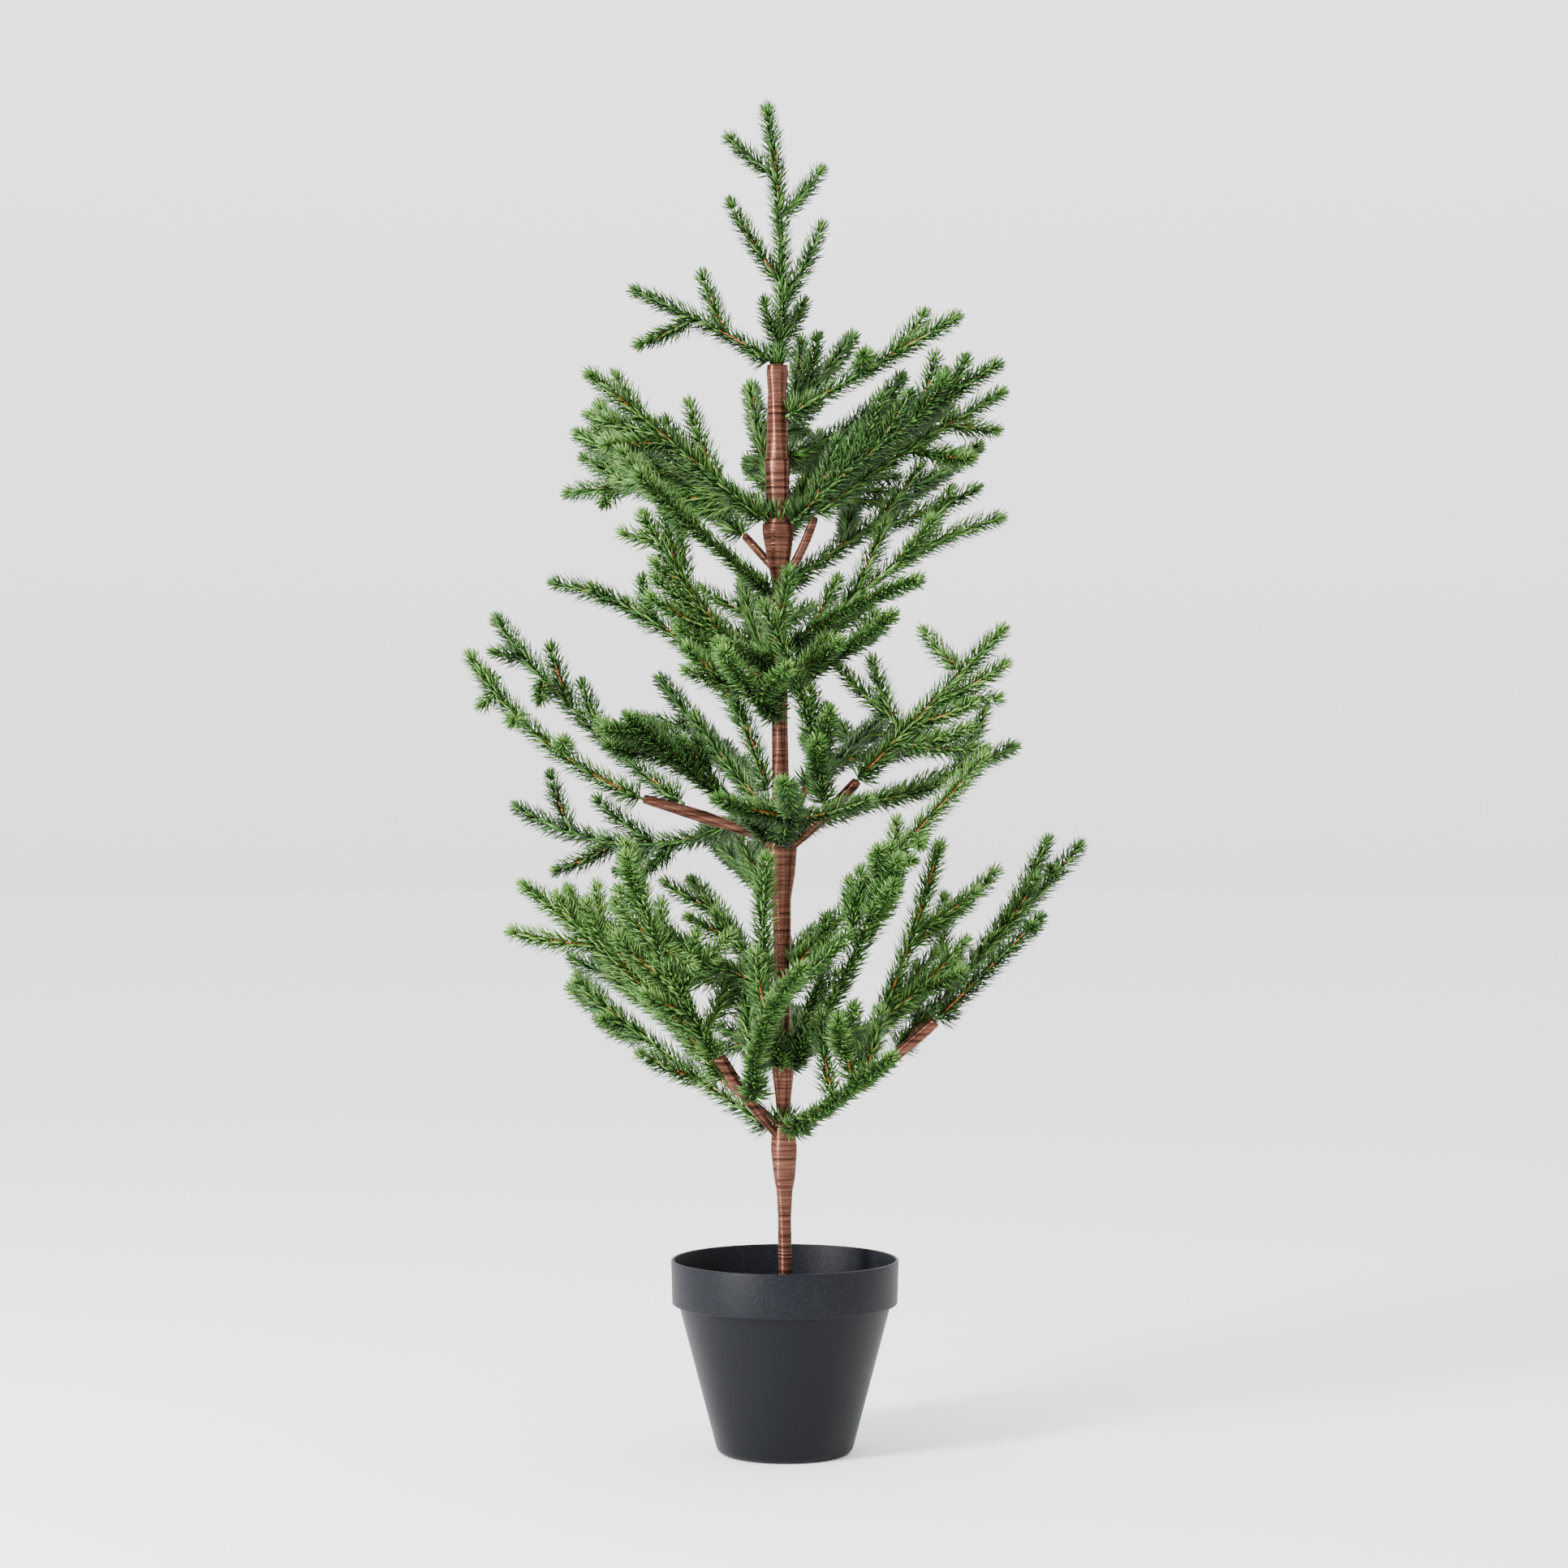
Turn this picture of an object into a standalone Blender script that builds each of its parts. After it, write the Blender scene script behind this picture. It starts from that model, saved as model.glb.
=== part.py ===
"""Artificial spruce, about 0.91 m tall, in a tapered plastic pot.

A thin stem wound with thread stands in the pot. Thread-wound limbs and moulded sprigs of needles leave it in
whorls. Units in this file are millimetres and degrees until a mesh is written, which is in metres. The origin is
the centre of the pot's foot, +Z is up, +X is the tree's right and -Y is its front.

Reaches and heights of limbs and sprigs are as seen from the front, from a point 2350 mm before the trunk and
453 mm up; `place` puts each at its true spot. `near` is how far a point stands before the trunk.
"""

import math
import random

import bmesh
import bpy
import numpy as np

MM = 0.001
EYE_AWAY = 2350.0
EYE_UP = 453.0
GAP = 0.35
SEAT = 0.8

# Pot: black plastic, moulded in one piece, with a plain rim band and a wall 2 mm thick.
POT_HEIGHT = 131.0
POT_RIM_RADIUS = 77.2
POT_BAND_HEIGHT = 30.0
POT_BAND_FOOT_RADIUS = 76.4
POT_NECK_RADIUS = 72.0
POT_FOOT_RADIUS = 45.5
POT_FOOT_ROUND = 5.0
POT_WALL = 2.0
POT_FLOOR = 3.0
POT_SIDES = 36

# Filling: a cast weight that holds the stem, well below the rim.
FILL_TOP = 85.0

# Trunk: height and radius of the wound stem, with its collars and bulges, and its lean to the left.
TRUNK_TOP = 737.0
TRUNK_SIDES = 12
TRUNK_LEAN = -5.5
TRUNK_LEAN_FROM = 130.0
TRUNK_PROFILE = (
    (FILL_TOP + GAP, 4.5), (160.0, 4.5), (168.0, 5.4), (186.0, 6.0), (200.0, 8.6), (216.0, 9.0), (222.0, 7.0),
    (231.0, 4.6), (254.0, 7.2), (268.0, 6.6), (274.0, 5.9), (320.0, 5.8), (375.0, 6.1), (392.0, 8.8),
    (413.0, 9.4), (419.0, 7.4), (430.0, 5.8), (500.0, 5.5), (576.0, 5.1), (588.0, 4.6), (604.0, 7.6),
    (624.0, 9.3), (632.0, 8.4), (640.0, 6.9), (658.0, 8.0), (674.0, 7.4), (690.0, 7.0), (720.0, 6.1),
    (733.0, 7.4), (TRUNK_TOP, 6.8),
)

# Needles and stems of the moulded sprigs.
STEM_RADIUS = 2.4
STEM_TIP_RADIUS = 1.7
TWIG_RADIUS = 2.0
TWIG_TIP_RADIUS = 1.5
TOOTH_OUT = 6.6
TOOTH_FORWARD = 5.5
STEM_STEP = 22.0
TWIG_STEP = 21.0
BUD_RADIUS = 4.8
BUD_LENGTH = 10.0
ROOT_BARE = 9.0
SAMPLE_STEP = 3.0

# Thread-wound limbs: name, root height, tip (reach, height, near), bow, radii at root, middle and tip.
LIMBS = (
    ("limb_upper_right", 600, (20, 634, 10), 1, (3.0, 3.0, 2.8)),
    ("limb_upper_left", 604, (-27, 621, -24), 0, (2.8, 2.9, 2.7)),
    ("limb_middle_left", 416, (-96, 443, 6), -1, (2.4, 4.0, 2.9)),
    ("limb_middle_right", 414, (49, 455, 16), 1, (2.8, 3.8, 3.4)),
    ("limb_middle_back", 420, (14, 450, -34), 0, (2.6, 2.8, 2.6)),
    ("limb_lower_left_front", 219, (-45, 268, 38), 1, (2.4, 3.6, 4.2)),
    ("limb_lower_left", 226, (-53, 265, -8), 1, (2.4, 3.0, 3.2)),
    ("limb_lower_right", 219, (102, 292, 10), 2, (2.6, 3.4, 3.8)),
)

# Where the two sprigs on the trunk's flat top stand, across it.
TOP_ROOTS = {"top": -3.5, "top_left": -10.3}

# Sprigs: name, where it is rooted (a height on the trunk, or a limb and the share along it), its tip
# (reach, height, near), the bow of its stem to the outer, lower side, its twigs, and pairs of twigs by rule.
# A twig is: share along the stem, tip reach, tip height, and how far its tip comes forward of where it starts.
SPRIGS = (
    ("sprig_leader", "top", (-12, 912, 0), -5, (
        (0.73, -39, 892, 4), (0.57, 25, 870, -4), (0.31, -37, 848, 6), (0.23, 25, 832, 2),
        (0.07, -14, 781, 22), (0.09, 13, 780, -22)), 0),
    ("sprig_top_left", "top_left", (-103, 788, 5), -2, ((0.31, -56, 799, -8), (0.56, -100, 751, 14)), 0),
    ("sprig_shoulder_right", 703, (117, 770, 50), 0, ((0.60, 95, 773, -8), (0.43, 54, 745, 34)), 0),
    ("sprig_shoulder_back", 706, (46, 757, -85), 3, ((0.25, 22, 757, -6), (0.12, 11, 754, -40)), 0),
    ("sprig_upper_right_back", 676, (80, 730, -95), 8, ((0.80, 90, 712, -10), (0.16, 20, 667, -34)), 0),
    ("sprig_upper_left_back", 655, (-23, 723, -105), 2, (
        (0.20, -25, 672, -34), (0.42, 22, 712, -34), (0.55, 14, 692, -50)), 0),
    ("sprig_high_left", 632, (-133, 732, 50), 0, (
        (0.20, -66, 710, -12), (0.68, -115, 731, -10), (0.52, -122, 687, 18)), 0),
    ("sprig_high_left_back", 641, (-142, 691, -60), 4, (
        (0.65, -126, 711, -12), (0.77, -128, 697, 14), (0.35, -96, 680, 22)), 0),
    ("sprig_high_right", 630, (145, 738, 85), -5, ((0.62, 102, 744, -8), (0.74, 123, 742, 12)), 0),
    ("sprig_high_back", 626, (24, 690, -125), 4, (), 2),
    ("sprig_limb_upper_right", ("limb_upper_right", 1.0), (148, 719, 0), -2, (
        (0.25, 68, 696, 16), (0.50, 125, 676, 18), (0.70, 109, 732, -14), (0.72, 144, 693, 12)), 0),
    ("sprig_limb_upper_left", ("limb_upper_left", 1.0), (-148, 650, -110), -15, (
        (0.60, -137, 675, -16), (0.75, -123, 643, 14)), 0),
    ("sprig_fifth_right_back", 590, (132, 683, -115), 2, ((0.45, 92, 669, -20),), 1),
    ("sprig_fifth_left_front", 582, (-100, 664, 105), -5, ((0.50, -84, 640, 16),), 0),
    ("sprig_fourth_left", 517, (-97, 637, 60), 4, (
        (0.62, -71, 631, -8), (0.60, -89, 604, 16), (0.85, -111, 624, 4)), 0),
    ("sprig_fourth_back", 530, (-27, 597, -130), 6, (), 2),
    ("sprig_fourth_front", 532, (-45, 548, 110), -2, ((0.16, 4, 599, 26),), 0),
    ("sprig_third_front", 500, (-42, 544, 150), 2, ((0.16, 30, 553, 26),), 1),
    ("sprig_fourth_right", 528, (147, 634, -25), -17, (
        (0.30, 69, 632, -14), (0.60, 113, 653, -8), (0.56, 101, 633, 28)), 0),
    ("sprig_fourth_right_front", 545, (91, 592, 95), -4, ((0.16, 36, 593, -20),), 0),
    ("sprig_third_right_front", 520, (73, 568, 130), 2, ((0.50, 64, 561, -18),), 0),
    ("sprig_middle_left_outer", ("limb_middle_left", 1.0), (-214, 541, 30), 12, (
        (0.66, -184, 495, 22), (0.80, -206, 506, 10), (0.85, -200, 525, -12), (0.40, -150, 482, 22)), 0),
    ("sprig_middle_left_upper", ("limb_middle_left", 0.72), (-196, 566, -60), 7, (
        (0.35, -138, 522, -12), (0.55, -159, 547, 10), (0.70, -166, 510, 26), (0.80, -198, 543, 12)), 0),
    ("sprig_middle_left_front", 417, (-107, 499, 120), 0, ((0.35, -59, 483, 20), (0.65, -115, 483, 16)), 0),
    ("sprig_middle_left_back", 429, (-85, 525, -110), 0, ((0.66, -97, 498, -14), (0.34, -62, 500, -22)), 0),
    ("sprig_middle_left_high", 448, (-158, 590, -30), -33, (
        (0.20, -34, 523, 16), (0.50, -65, 575, 12), (0.62, -108, 576, -10), (0.66, -97, 593, 16),
        (0.80, -132, 587, 8)), 0),
    ("sprig_middle_left_low", 436, (-183, 438, -130), 20, (
        (0.38, -96, 392, 14), (0.45, -128, 443, -16), (0.60, -156, 394, 14), (0.78, -159, 460, -10)), 0),
    ("sprig_middle_front", 417, (-1, 454, 140), 6, (), 1),
    ("sprig_middle_right", ("limb_middle_right", 1.0), (148, 558, 50), 0, (
        (0.25, 136, 477, 26), (0.30, 59, 538, -8), (0.50, 150, 535, 16), (0.56, 146, 511, 6),
        (0.72, 94, 557, -16)), 0),
    ("sprig_middle_right_back", 424, (156, 479, -110), -8, ((0.35, 106, 454, 22), (0.72, 136, 503, -18)), 0),
    ("sprig_limb_middle_back", ("limb_middle_back", 1.0), (68, 500, -150), 2, (), 2),
    ("sprig_middle_right_front", ("limb_middle_right", 0.55), (-15, 575, 110), -7, ((0.16, 28, 505, 22),), 0),
    ("sprig_second_back", 378, (-54, 423, -150), 2, (
        (0.18, -30, 418, -20), (0.40, -16, 412, -80), (0.60, -40, 425, -70)), 0),
    ("sprig_second_right", 328, (136, 472, 75), 0, (
        (0.50, 87, 401, 18), (0.52, 76, 429, -14), (0.64, 92, 412, 22)), 0),
    ("sprig_first_right_inner", 272, (29, 364, 50), 6, ((0.30, 36, 326, -14),), 0),
    ("sprig_first_back", 262, (6, 300, -165), 4, ((0.14, -25, 268, -16), (0.16, 32, 286, -18)), 2),
    ("sprig_first_left_back", 276, (-64, 388, -140), -10, ((0.50, -48, 366, 10), (0.78, -82, 387, -12)), 1),
    ("sprig_first_front", 262, (-11, 404, 150), -8, (), 1),
    ("sprig_first_right_front", 272, (72, 411, 110), 9, ((0.55, 44, 388, 20),), 0),
    ("sprig_lower_left", 220, (-142, 320, -70), 3, ((0.33, -99, 271, 12), (0.72, -125, 294, 10)), 0),
    ("sprig_lower_left_front", ("limb_lower_left_front", 1.0), (-106, 410, 110), 7, (
        (0.30, -60, 352, 26), (0.55, -62, 330, 10), (0.70, -113, 382, 10)), 0),
    ("sprig_lower_left_long", ("limb_lower_left_front", 0.72), (-178, 385, 75), -7, (
        (0.30, -92, 352, -12), (0.58, -128, 385, -10), (0.65, -186, 353, 14), (0.72, -155, 378, 10)), 0),
    ("sprig_lower_left_middle", ("limb_lower_left", 1.0), (-145, 335, -30), -8, ((0.50, -110, 345, -12),), 0),
    ("sprig_lower_front", ("limb_lower_left_front", 0.45), (13, 329, 150), -10, ((0.55, -20, 340, 14),), 0),
    ("sprig_lower_right_front", 219, (73, 268, 120), 3, (
        (0.40, 26, 298, 16), (0.62, 38, 296, 20), (0.70, 65, 301, -12)), 0),
    ("sprig_lower_right_outer", ("limb_lower_right", 1.0), (174, 363, 40), 0, ((0.86, 168, 357, 14),), 0),
    ("sprig_lower_right_upper", ("limb_lower_right", 0.72), (201, 412, -60), 0, (
        (0.10, 90, 330, -12), (0.28, 108, 377, -22), (0.40, 179, 416, -26), (0.55, 171, 391, 10),
        (0.85, 181, 395, 14)), 0),
    ("sprig_lower_right_inner", ("limb_lower_right", 0.45), (105, 413, 30), 4, (
        (0.24, 123, 347, 26), (0.56, 144, 395, -8), (0.62, 131, 381, 14)), 0),
)


def place(reach, height, near):
    """True point of what is seen at (reach, height) and stands `near` before the trunk: seen * (1 - near / 2350)."""
    reach, height, near = np.broadcast_arrays(*(np.asarray(v, float) for v in (reach, height, near)))
    share = 1.0 - near / EYE_AWAY
    return np.stack([reach * share, -near, EYE_UP + (height - EYE_UP) * share], axis=-1)


def seen(point):
    """Inverse of place: the (reach, height, near) at which a true point is seen."""
    near = -point[1]
    share = 1.0 - near / EYE_AWAY
    return np.array([point[0] / share, EYE_UP + (point[2] - EYE_UP) / share, near])


def unit(vector):
    """The vector, or each row of vectors, at length 1."""
    return vector / np.linalg.norm(vector, axis=-1, keepdims=True)


def trunk_centre(height):
    """Centre of the trunk at a height: upright to 130 mm, then leaning evenly to the left."""
    rise = max(0.0, height - TRUNK_LEAN_FROM) / (TRUNK_TOP - TRUNK_LEAN_FROM)
    return np.array([TRUNK_LEAN * rise, 0.0, height])


def trunk_radius(height):
    """Radius of the trunk at a height, straight between the heights of its profile."""
    heights, radii = zip(*TRUNK_PROFILE)
    return float(np.interp(height, heights, radii))


def bowed(root, tip, bow):
    """Curve from root to tip in seen units: a parabola whose middle lies `bow` to the outer, lower side."""
    root, tip = np.asarray(root, float), np.asarray(tip, float)
    across, rise = tip[0] - root[0], tip[1] - root[1]
    side = 1.0 if across >= 0 else -1.0
    normal = np.array([side * rise, -side * across, 0.0]) / max(math.hypot(across, rise), 1.0)
    bend = (root + tip) / 2 + 2 * bow * normal

    def curve(share):
        share = np.asarray(share, float)[..., None]
        points = root * (1 - share) ** 2 + 2 * bend * share * (1 - share) + tip * share**2
        return place(points[..., 0], points[..., 1], points[..., 2])

    return curve


def length_of(curve):
    """Length of a curve, from 24 chords."""
    points = curve(np.linspace(0, 1, 25))
    return float(np.linalg.norm(np.diff(points, axis=0), axis=1).sum())


def samples_of(curve):
    """Points along a curve, about 3 mm apart."""
    return curve(np.linspace(0, 1, max(3, int(length_of(curve) / SAMPLE_STEP) + 1)))


def trunk_root(height, tip, radius, bow):
    """Root and seat of a stem of this radius on the trunk's side, turned towards the tip.

    The seat is the point of the stem's end that almost touches the trunk, and the root, SEAT further out, is where
    its full round begins. A stem with a bow leaves 4 * bow / length radians flatter than the straight line to its
    tip.
    """
    centre = trunk_centre(height)
    goal = place(*tip)
    flat = goal[:2] - centre[:2]
    run, rise = float(np.linalg.norm(flat)), goal[2] - height
    slope = math.atan2(rise, run) - 4 * bow / math.hypot(run, rise)
    out = trunk_radius(height) + GAP + radius * abs(math.sin(slope)) + SEAT
    touch = trunk_radius(height - SEAT) + GAP
    root = np.array([*(centre[:2] + unit(flat) * out), height])
    return seen(root), np.array([*(centre[:2] + unit(flat) * touch), height - SEAT])


def top_root(across, tip, radius):
    """Root and seat of a stem on the trunk's flat top, this far across it."""
    ahead = unit(place(*tip) - (across, 0.0, TRUNK_TOP))
    rise = GAP + SEAT + radius * math.hypot(ahead[0], ahead[1]) if ahead[2] > 0.9 else GAP + SEAT + radius
    seat = np.array([across, 0.0, TRUNK_TOP + GAP])
    return seen(seat + (0.0, 0.0, rise - GAP)), seat


def limb_root(curve, radii, share, tip, radius):
    """Root and seat of a stem of this radius on a limb's end, or at a share along it on its side."""
    spot = curve(share)
    along = unit(curve(min(1.0, share + 0.01)) - curve(min(1.0, share + 0.01) - 0.02))
    ahead = unit(place(*tip) - spot)
    if share == 1.0:
        tilt = radius * np.linalg.norm(np.cross(along, ahead))
        return seen(spot + along * (GAP + tilt + SEAT)), spot + along * GAP
    side = unit(ahead - along * float(ahead @ along))
    thick = float(np.interp(share, (0.0, 0.5, 1.0), radii))
    tilt = radius * np.linalg.norm(np.cross(side, ahead))
    return seen(spot + side * (thick + GAP + tilt + SEAT)), spot + side * (thick + GAP) - along * SEAT


class Crowd:
    """The centre lines that are already set, with their radii, which every new one keeps clear of.

    Each point knows its owner: 0 for trunk and limbs, then 1, 2, 3 for the sprigs in order, and its shoot there.
    """

    def __init__(self):
        self.points = np.empty((0, 3))
        self.radii = np.empty(0)
        self.owners = np.empty(0, int)
        self.shoots = np.empty(0, int)

    def add(self, owner, shoot, points, radii):
        count = len(points)
        self.points = np.vstack([self.points, points])
        self.radii = np.concatenate([self.radii, np.broadcast_to(radii, count)])
        self.owners = np.concatenate([self.owners, np.full(count, owner)])
        self.shoots = np.concatenate([self.shoots, np.full(count, shoot)])

    def gaps(self, owner, points, radius):
        """Gap from each point of a stem of this radius to trunk and limbs, and to the other sprigs."""
        away = np.linalg.norm(points[:, None] - self.points[None], axis=2) - self.radii - radius
        others = (self.owners != owner) & (self.owners > 0)
        return away[:, self.owners == 0].min(axis=1), away[:, others].min(axis=1, initial=99.0)


def offsets(step, count):
    """0, +step, -step, +2 step, -2 step and so on."""
    return [0.0] + [sign * step * k for k in range(1, count + 1) for sign in (1, -1)]


def set_out():
    """Centre lines of trunk, limbs, stems and twigs, each shifted in depth until it is clear of the others."""
    crowd = Crowd()
    heights = np.arange(FILL_TOP, TRUNK_TOP, SAMPLE_STEP)
    crowd.add(0, 0, np.array([trunk_centre(h) for h in heights]), np.array([trunk_radius(h) for h in heights]))
    limbs = {}
    for name, height, tip, bow, radii in LIMBS:
        root, seat = trunk_root(height, tip, radii[0], bow)
        curve = bowed(root, tip, bow)
        points = samples_of(curve)
        limbs[name] = (curve, radii, seat)
        crowd.add(0, 0, points, np.interp(np.linspace(0, 1, len(points)), (0.0, 0.5, 1.0), radii))

    tries = [(shift, lift) for shift in offsets(5, 12) for lift in offsets(3, 3)]
    tries.sort(key=lambda pair: abs(pair[0]) + 2.5 * abs(pair[1]))
    sprigs = {}
    for owner, (name, root, tip, bow, _, _) in enumerate(SPRIGS, 1):
        best = None
        for shift, lift in tries:
            goal = (tip[0], tip[1], tip[2] + shift)
            if root in TOP_ROOTS:
                start, seat = top_root(TOP_ROOTS[root], goal, STEM_RADIUS)
            elif isinstance(root, tuple):
                start, seat = limb_root(*limbs[root[0]][:2], root[1], goal, STEM_RADIUS)
            else:
                start, seat = trunk_root(root + lift, goal, STEM_RADIUS, bow)
            curve = bowed(start, goal, bow)
            points = samples_of(curve)
            to_wood, to_sprigs = crowd.gaps(owner, points, STEM_RADIUS)
            room = min(to_wood[5:].min() - 1.0, to_sprigs.min() - 0.1, to_sprigs[5:].min() - 1.6)
            if best is None or room > best[0]:
                best = (room, curve, points, seat)
            if room >= 0:
                break
        sprigs[name] = [(best[1], STEM_RADIUS, STEM_TIP_RADIUS, best[3])]
        crowd.add(owner, 0, best[2], 2.2)

    for owner, (name, _, _, _, twigs, pairs) in enumerate(SPRIGS, 1):
        stem = sprigs[name][0][0]
        for share, reach, height, out in twigs + paired_twigs(name, stem, pairs):
            start = seen(stem(share))
            for shift in offsets(6, 5):
                goal = (reach, height, start[2] + out + shift)
                curve = bowed(start, goal, 0.03 * math.hypot(reach - start[0], height - start[1]))
                points = samples_of(curve)
                if min(gaps.min() for gaps in crowd.gaps(owner, points, TWIG_RADIUS)) >= 1.2:
                    crowd.add(owner, len(sprigs[name]), points, 1.8)
                    sprigs[name].append((curve, TWIG_RADIUS, TWIG_TIP_RADIUS, None))
                    break
    return crowd, limbs, sprigs


def paired_twigs(name, stem, pairs):
    """Twigs in pairs along a stem, turned about 48 degrees to either side in the fan of the sprig, by a seed."""
    chance = random.Random(name)
    rows = ()
    for k in range(pairs):
        share = 0.34 + 0.30 * k
        spot = stem(share)
        ahead = unit(stem(share + 0.02) - stem(share - 0.02))
        side = unit(np.cross(ahead, (0.0, 0.0, 1.0)))
        reach = length_of(stem) * (1 - share) * 0.62 + 8
        for turn in (1, -1):
            angle = math.radians(48 + chance.uniform(-5, 5))
            goal = spot + reach * (ahead * math.cos(angle) + turn * side * math.sin(angle)) + (0, 0, 3.0)
            tip = seen(goal)
            rows += ((share + 0.04 * turn, tip[0], tip[1], tip[2] - seen(spot)[2]),)
    return rows


def frames(points):
    """Directions along and two across each point of a path, carried along it without twist."""
    along = unit(np.gradient(points, axis=0))
    first = unit(np.cross(along[0], (0.3, 1.0, 0.2)))
    across = [first]
    for direction in along[1:]:
        across.append(unit(across[-1] - direction * float(across[-1] @ direction)))
    across = np.array(across)
    return along, across, np.cross(along, across)


def rings(points, radii, sides, twist):
    """Corners of a tube: sides points round each place on the path, each ring turned by twist from the last."""
    _, across, other = frames(points)
    turn = 2 * np.pi * np.arange(sides) / sides + twist * np.arange(len(points))[:, None]
    round_it = np.cos(turn)[..., None] * across[:, None] + np.sin(turn)[..., None] * other[:, None]
    return points[:, None] + np.asarray(radii, float)[:, None, None] * round_it


def toothed_shoot(curve, radius, tip_radius, seat, step, keep):
    """Corners and triangles of one shoot: a slim three-sided core, a tooth on each side face, a bud at its end.

    Each ring is turned 60 degrees from the last, and each triangle between two rings is raised to a tooth whose
    point stands TOOTH_OUT from the centre line and TOOTH_FORWARD ahead of the triangle's middle. A stem's end
    comes to a point at its seat, and a twig's starts slim, sunk in its stem.
    """
    length = length_of(curve)
    count = max(1, round((length - BUD_LENGTH) / step))
    shares = np.concatenate([np.linspace(0, 1 - BUD_LENGTH / length, count + 1), [1 - 0.5 * BUD_LENGTH / length]])
    points = curve(shares)
    radii = np.linspace(radius, tip_radius, count + 1)
    if seat is None:
        radii[0] = 0.9
    radii = np.append(radii, BUD_RADIUS)
    corners = rings(points, radii, 3, math.pi / 3)
    along = frames(points)[0]
    tip = curve(1.0)
    verts = [tuple(c) for c in corners.reshape(-1, 3)]
    faces = [(2, 1, 0)]
    if seat is not None:
        verts.append(tuple(seat))
        faces = [(1, 0, len(verts) - 1), (2, 1, len(verts) - 1), (0, 2, len(verts) - 1)]
    for i in range(count + 1):
        a, b = 3 * i, 3 * i + 3
        for j in range(3):
            k = (j + 1) % 3
            for face in ((a + j, a + k, b + j), (b + j, a + k, b + k)):
                base = np.array([verts[v] for v in face])
                middle = base.mean(axis=0)
                share = shares[i] + (shares[i + 1] - shares[i]) * 0.5
                centre = points[i] + along[i] * float((middle - points[i]) @ along[i])
                point = centre + unit(middle - centre) * TOOTH_OUT + along[i] * TOOTH_FORWARD
                if i == count or share * length < ROOT_BARE or not keep(base, point):
                    faces.append(face)
                    continue
                verts.append(tuple(point))
                top = len(verts) - 1
                faces += [(face[0], face[1], top), (face[1], face[2], top), (face[2], face[0], top)]
    verts.append(tuple(tip))
    last = 3 * (count + 1)
    faces += [(last + j, last + (j + 1) % 3, len(verts) - 1) for j in range(3)]
    return verts, faces


def make(name, verts, faces, material, smooth=False):
    """An object from corners in millimetres and faces."""
    mesh = bpy.data.meshes.new(name)
    mesh.from_pydata([(x * MM, y * MM, z * MM) for x, y, z in verts], [], faces)
    mesh.materials.append(material)
    if smooth:
        mesh.shade_smooth()
        mesh.set_sharp_from_angle(angle=math.radians(35))
    ob = bpy.data.objects.new(name, mesh)
    bpy.context.scene.collection.objects.link(ob)
    return ob


def finish(name, colour, roughness):
    """A Principled material with this colour and roughness."""
    material = bpy.data.materials.new(name)
    material.use_nodes = True
    shader = material.node_tree.nodes["Principled BSDF"]
    shader.inputs["Base Color"].default_value = (*colour, 1.0)
    shader.inputs["Roughness"].default_value = roughness
    material.diffuse_color = (*colour, 1.0)
    return material


def turned(profile, sides):
    """Corners and faces of a closed turned body from its profile of (radius, height), axis points first and last."""
    verts = [(0.0, 0.0, profile[0][1])]
    faces = []
    inner = profile[1:-1]
    for radius, height in inner:
        for k in range(sides):
            turn = 2 * math.pi * k / sides
            verts.append((radius * math.cos(turn), radius * math.sin(turn), height))
    verts.append((0.0, 0.0, profile[-1][1]))
    last = len(verts) - 1
    for k in range(sides):
        n = (k + 1) % sides
        faces.append((0, 1 + n, 1 + k))
        for i in range(len(inner) - 1):
            a, b = 1 + i * sides, 1 + (i + 1) * sides
            faces.append((a + k, a + n, b + n, b + k))
        top = 1 + (len(inner) - 1) * sides
        faces.append((top + k, top + n, last))
    return verts, faces


def is_closed(mesh):
    """True if every edge of a mesh lies between two of its faces."""
    shape = bmesh.new()
    shape.from_mesh(mesh)
    closed = all(edge.is_manifold for edge in shape.edges)
    shape.free()
    return closed


def joined(name, shoots, material):
    """One object from the shoots of a sprig, by a Boolean union on a collection that is then removed.

    The EXACT solver joins them, and MANIFOLD does where EXACT leaves an edge open.
    """
    stem = make(name, *shoots[0], material)
    if len(shoots) > 1:
        twigs = bpy.data.collections.new(name + "_twigs")
        bpy.context.scene.collection.children.link(twigs)
        for k, (verts, faces) in enumerate(shoots[1:]):
            twig = make(f"{name}_twig_{k}", verts, faces, material)
            bpy.context.scene.collection.objects.unlink(twig)
            twigs.objects.link(twig)
        union = stem.modifiers.new("union", "BOOLEAN")
        union.operation = "UNION"
        union.operand_type = "COLLECTION"
        union.collection = twigs
        for solver in ("EXACT", "MANIFOLD"):
            union.solver = solver
            shape = bpy.data.meshes.new_from_object(stem.evaluated_get(bpy.context.evaluated_depsgraph_get()))
            if is_closed(shape):
                break
        stem.modifiers.clear()
        stem.data = shape
        shape.name = name
        for twig in list(twigs.objects):
            bpy.data.objects.remove(twig)
        bpy.data.collections.remove(twigs)
    return stem


for old in list(bpy.data.objects):
    bpy.data.objects.remove(old)

pot_plastic = finish("pot_plastic", (0.035, 0.036, 0.040), 0.45)
cast_fill = finish("cast_fill", (0.05, 0.05, 0.05), 0.9)
wound_thread = finish("wound_thread", (0.22, 0.10, 0.065), 0.35)
needle_plastic = finish("needle_plastic", (0.045, 0.14, 0.035), 0.5)

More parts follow.
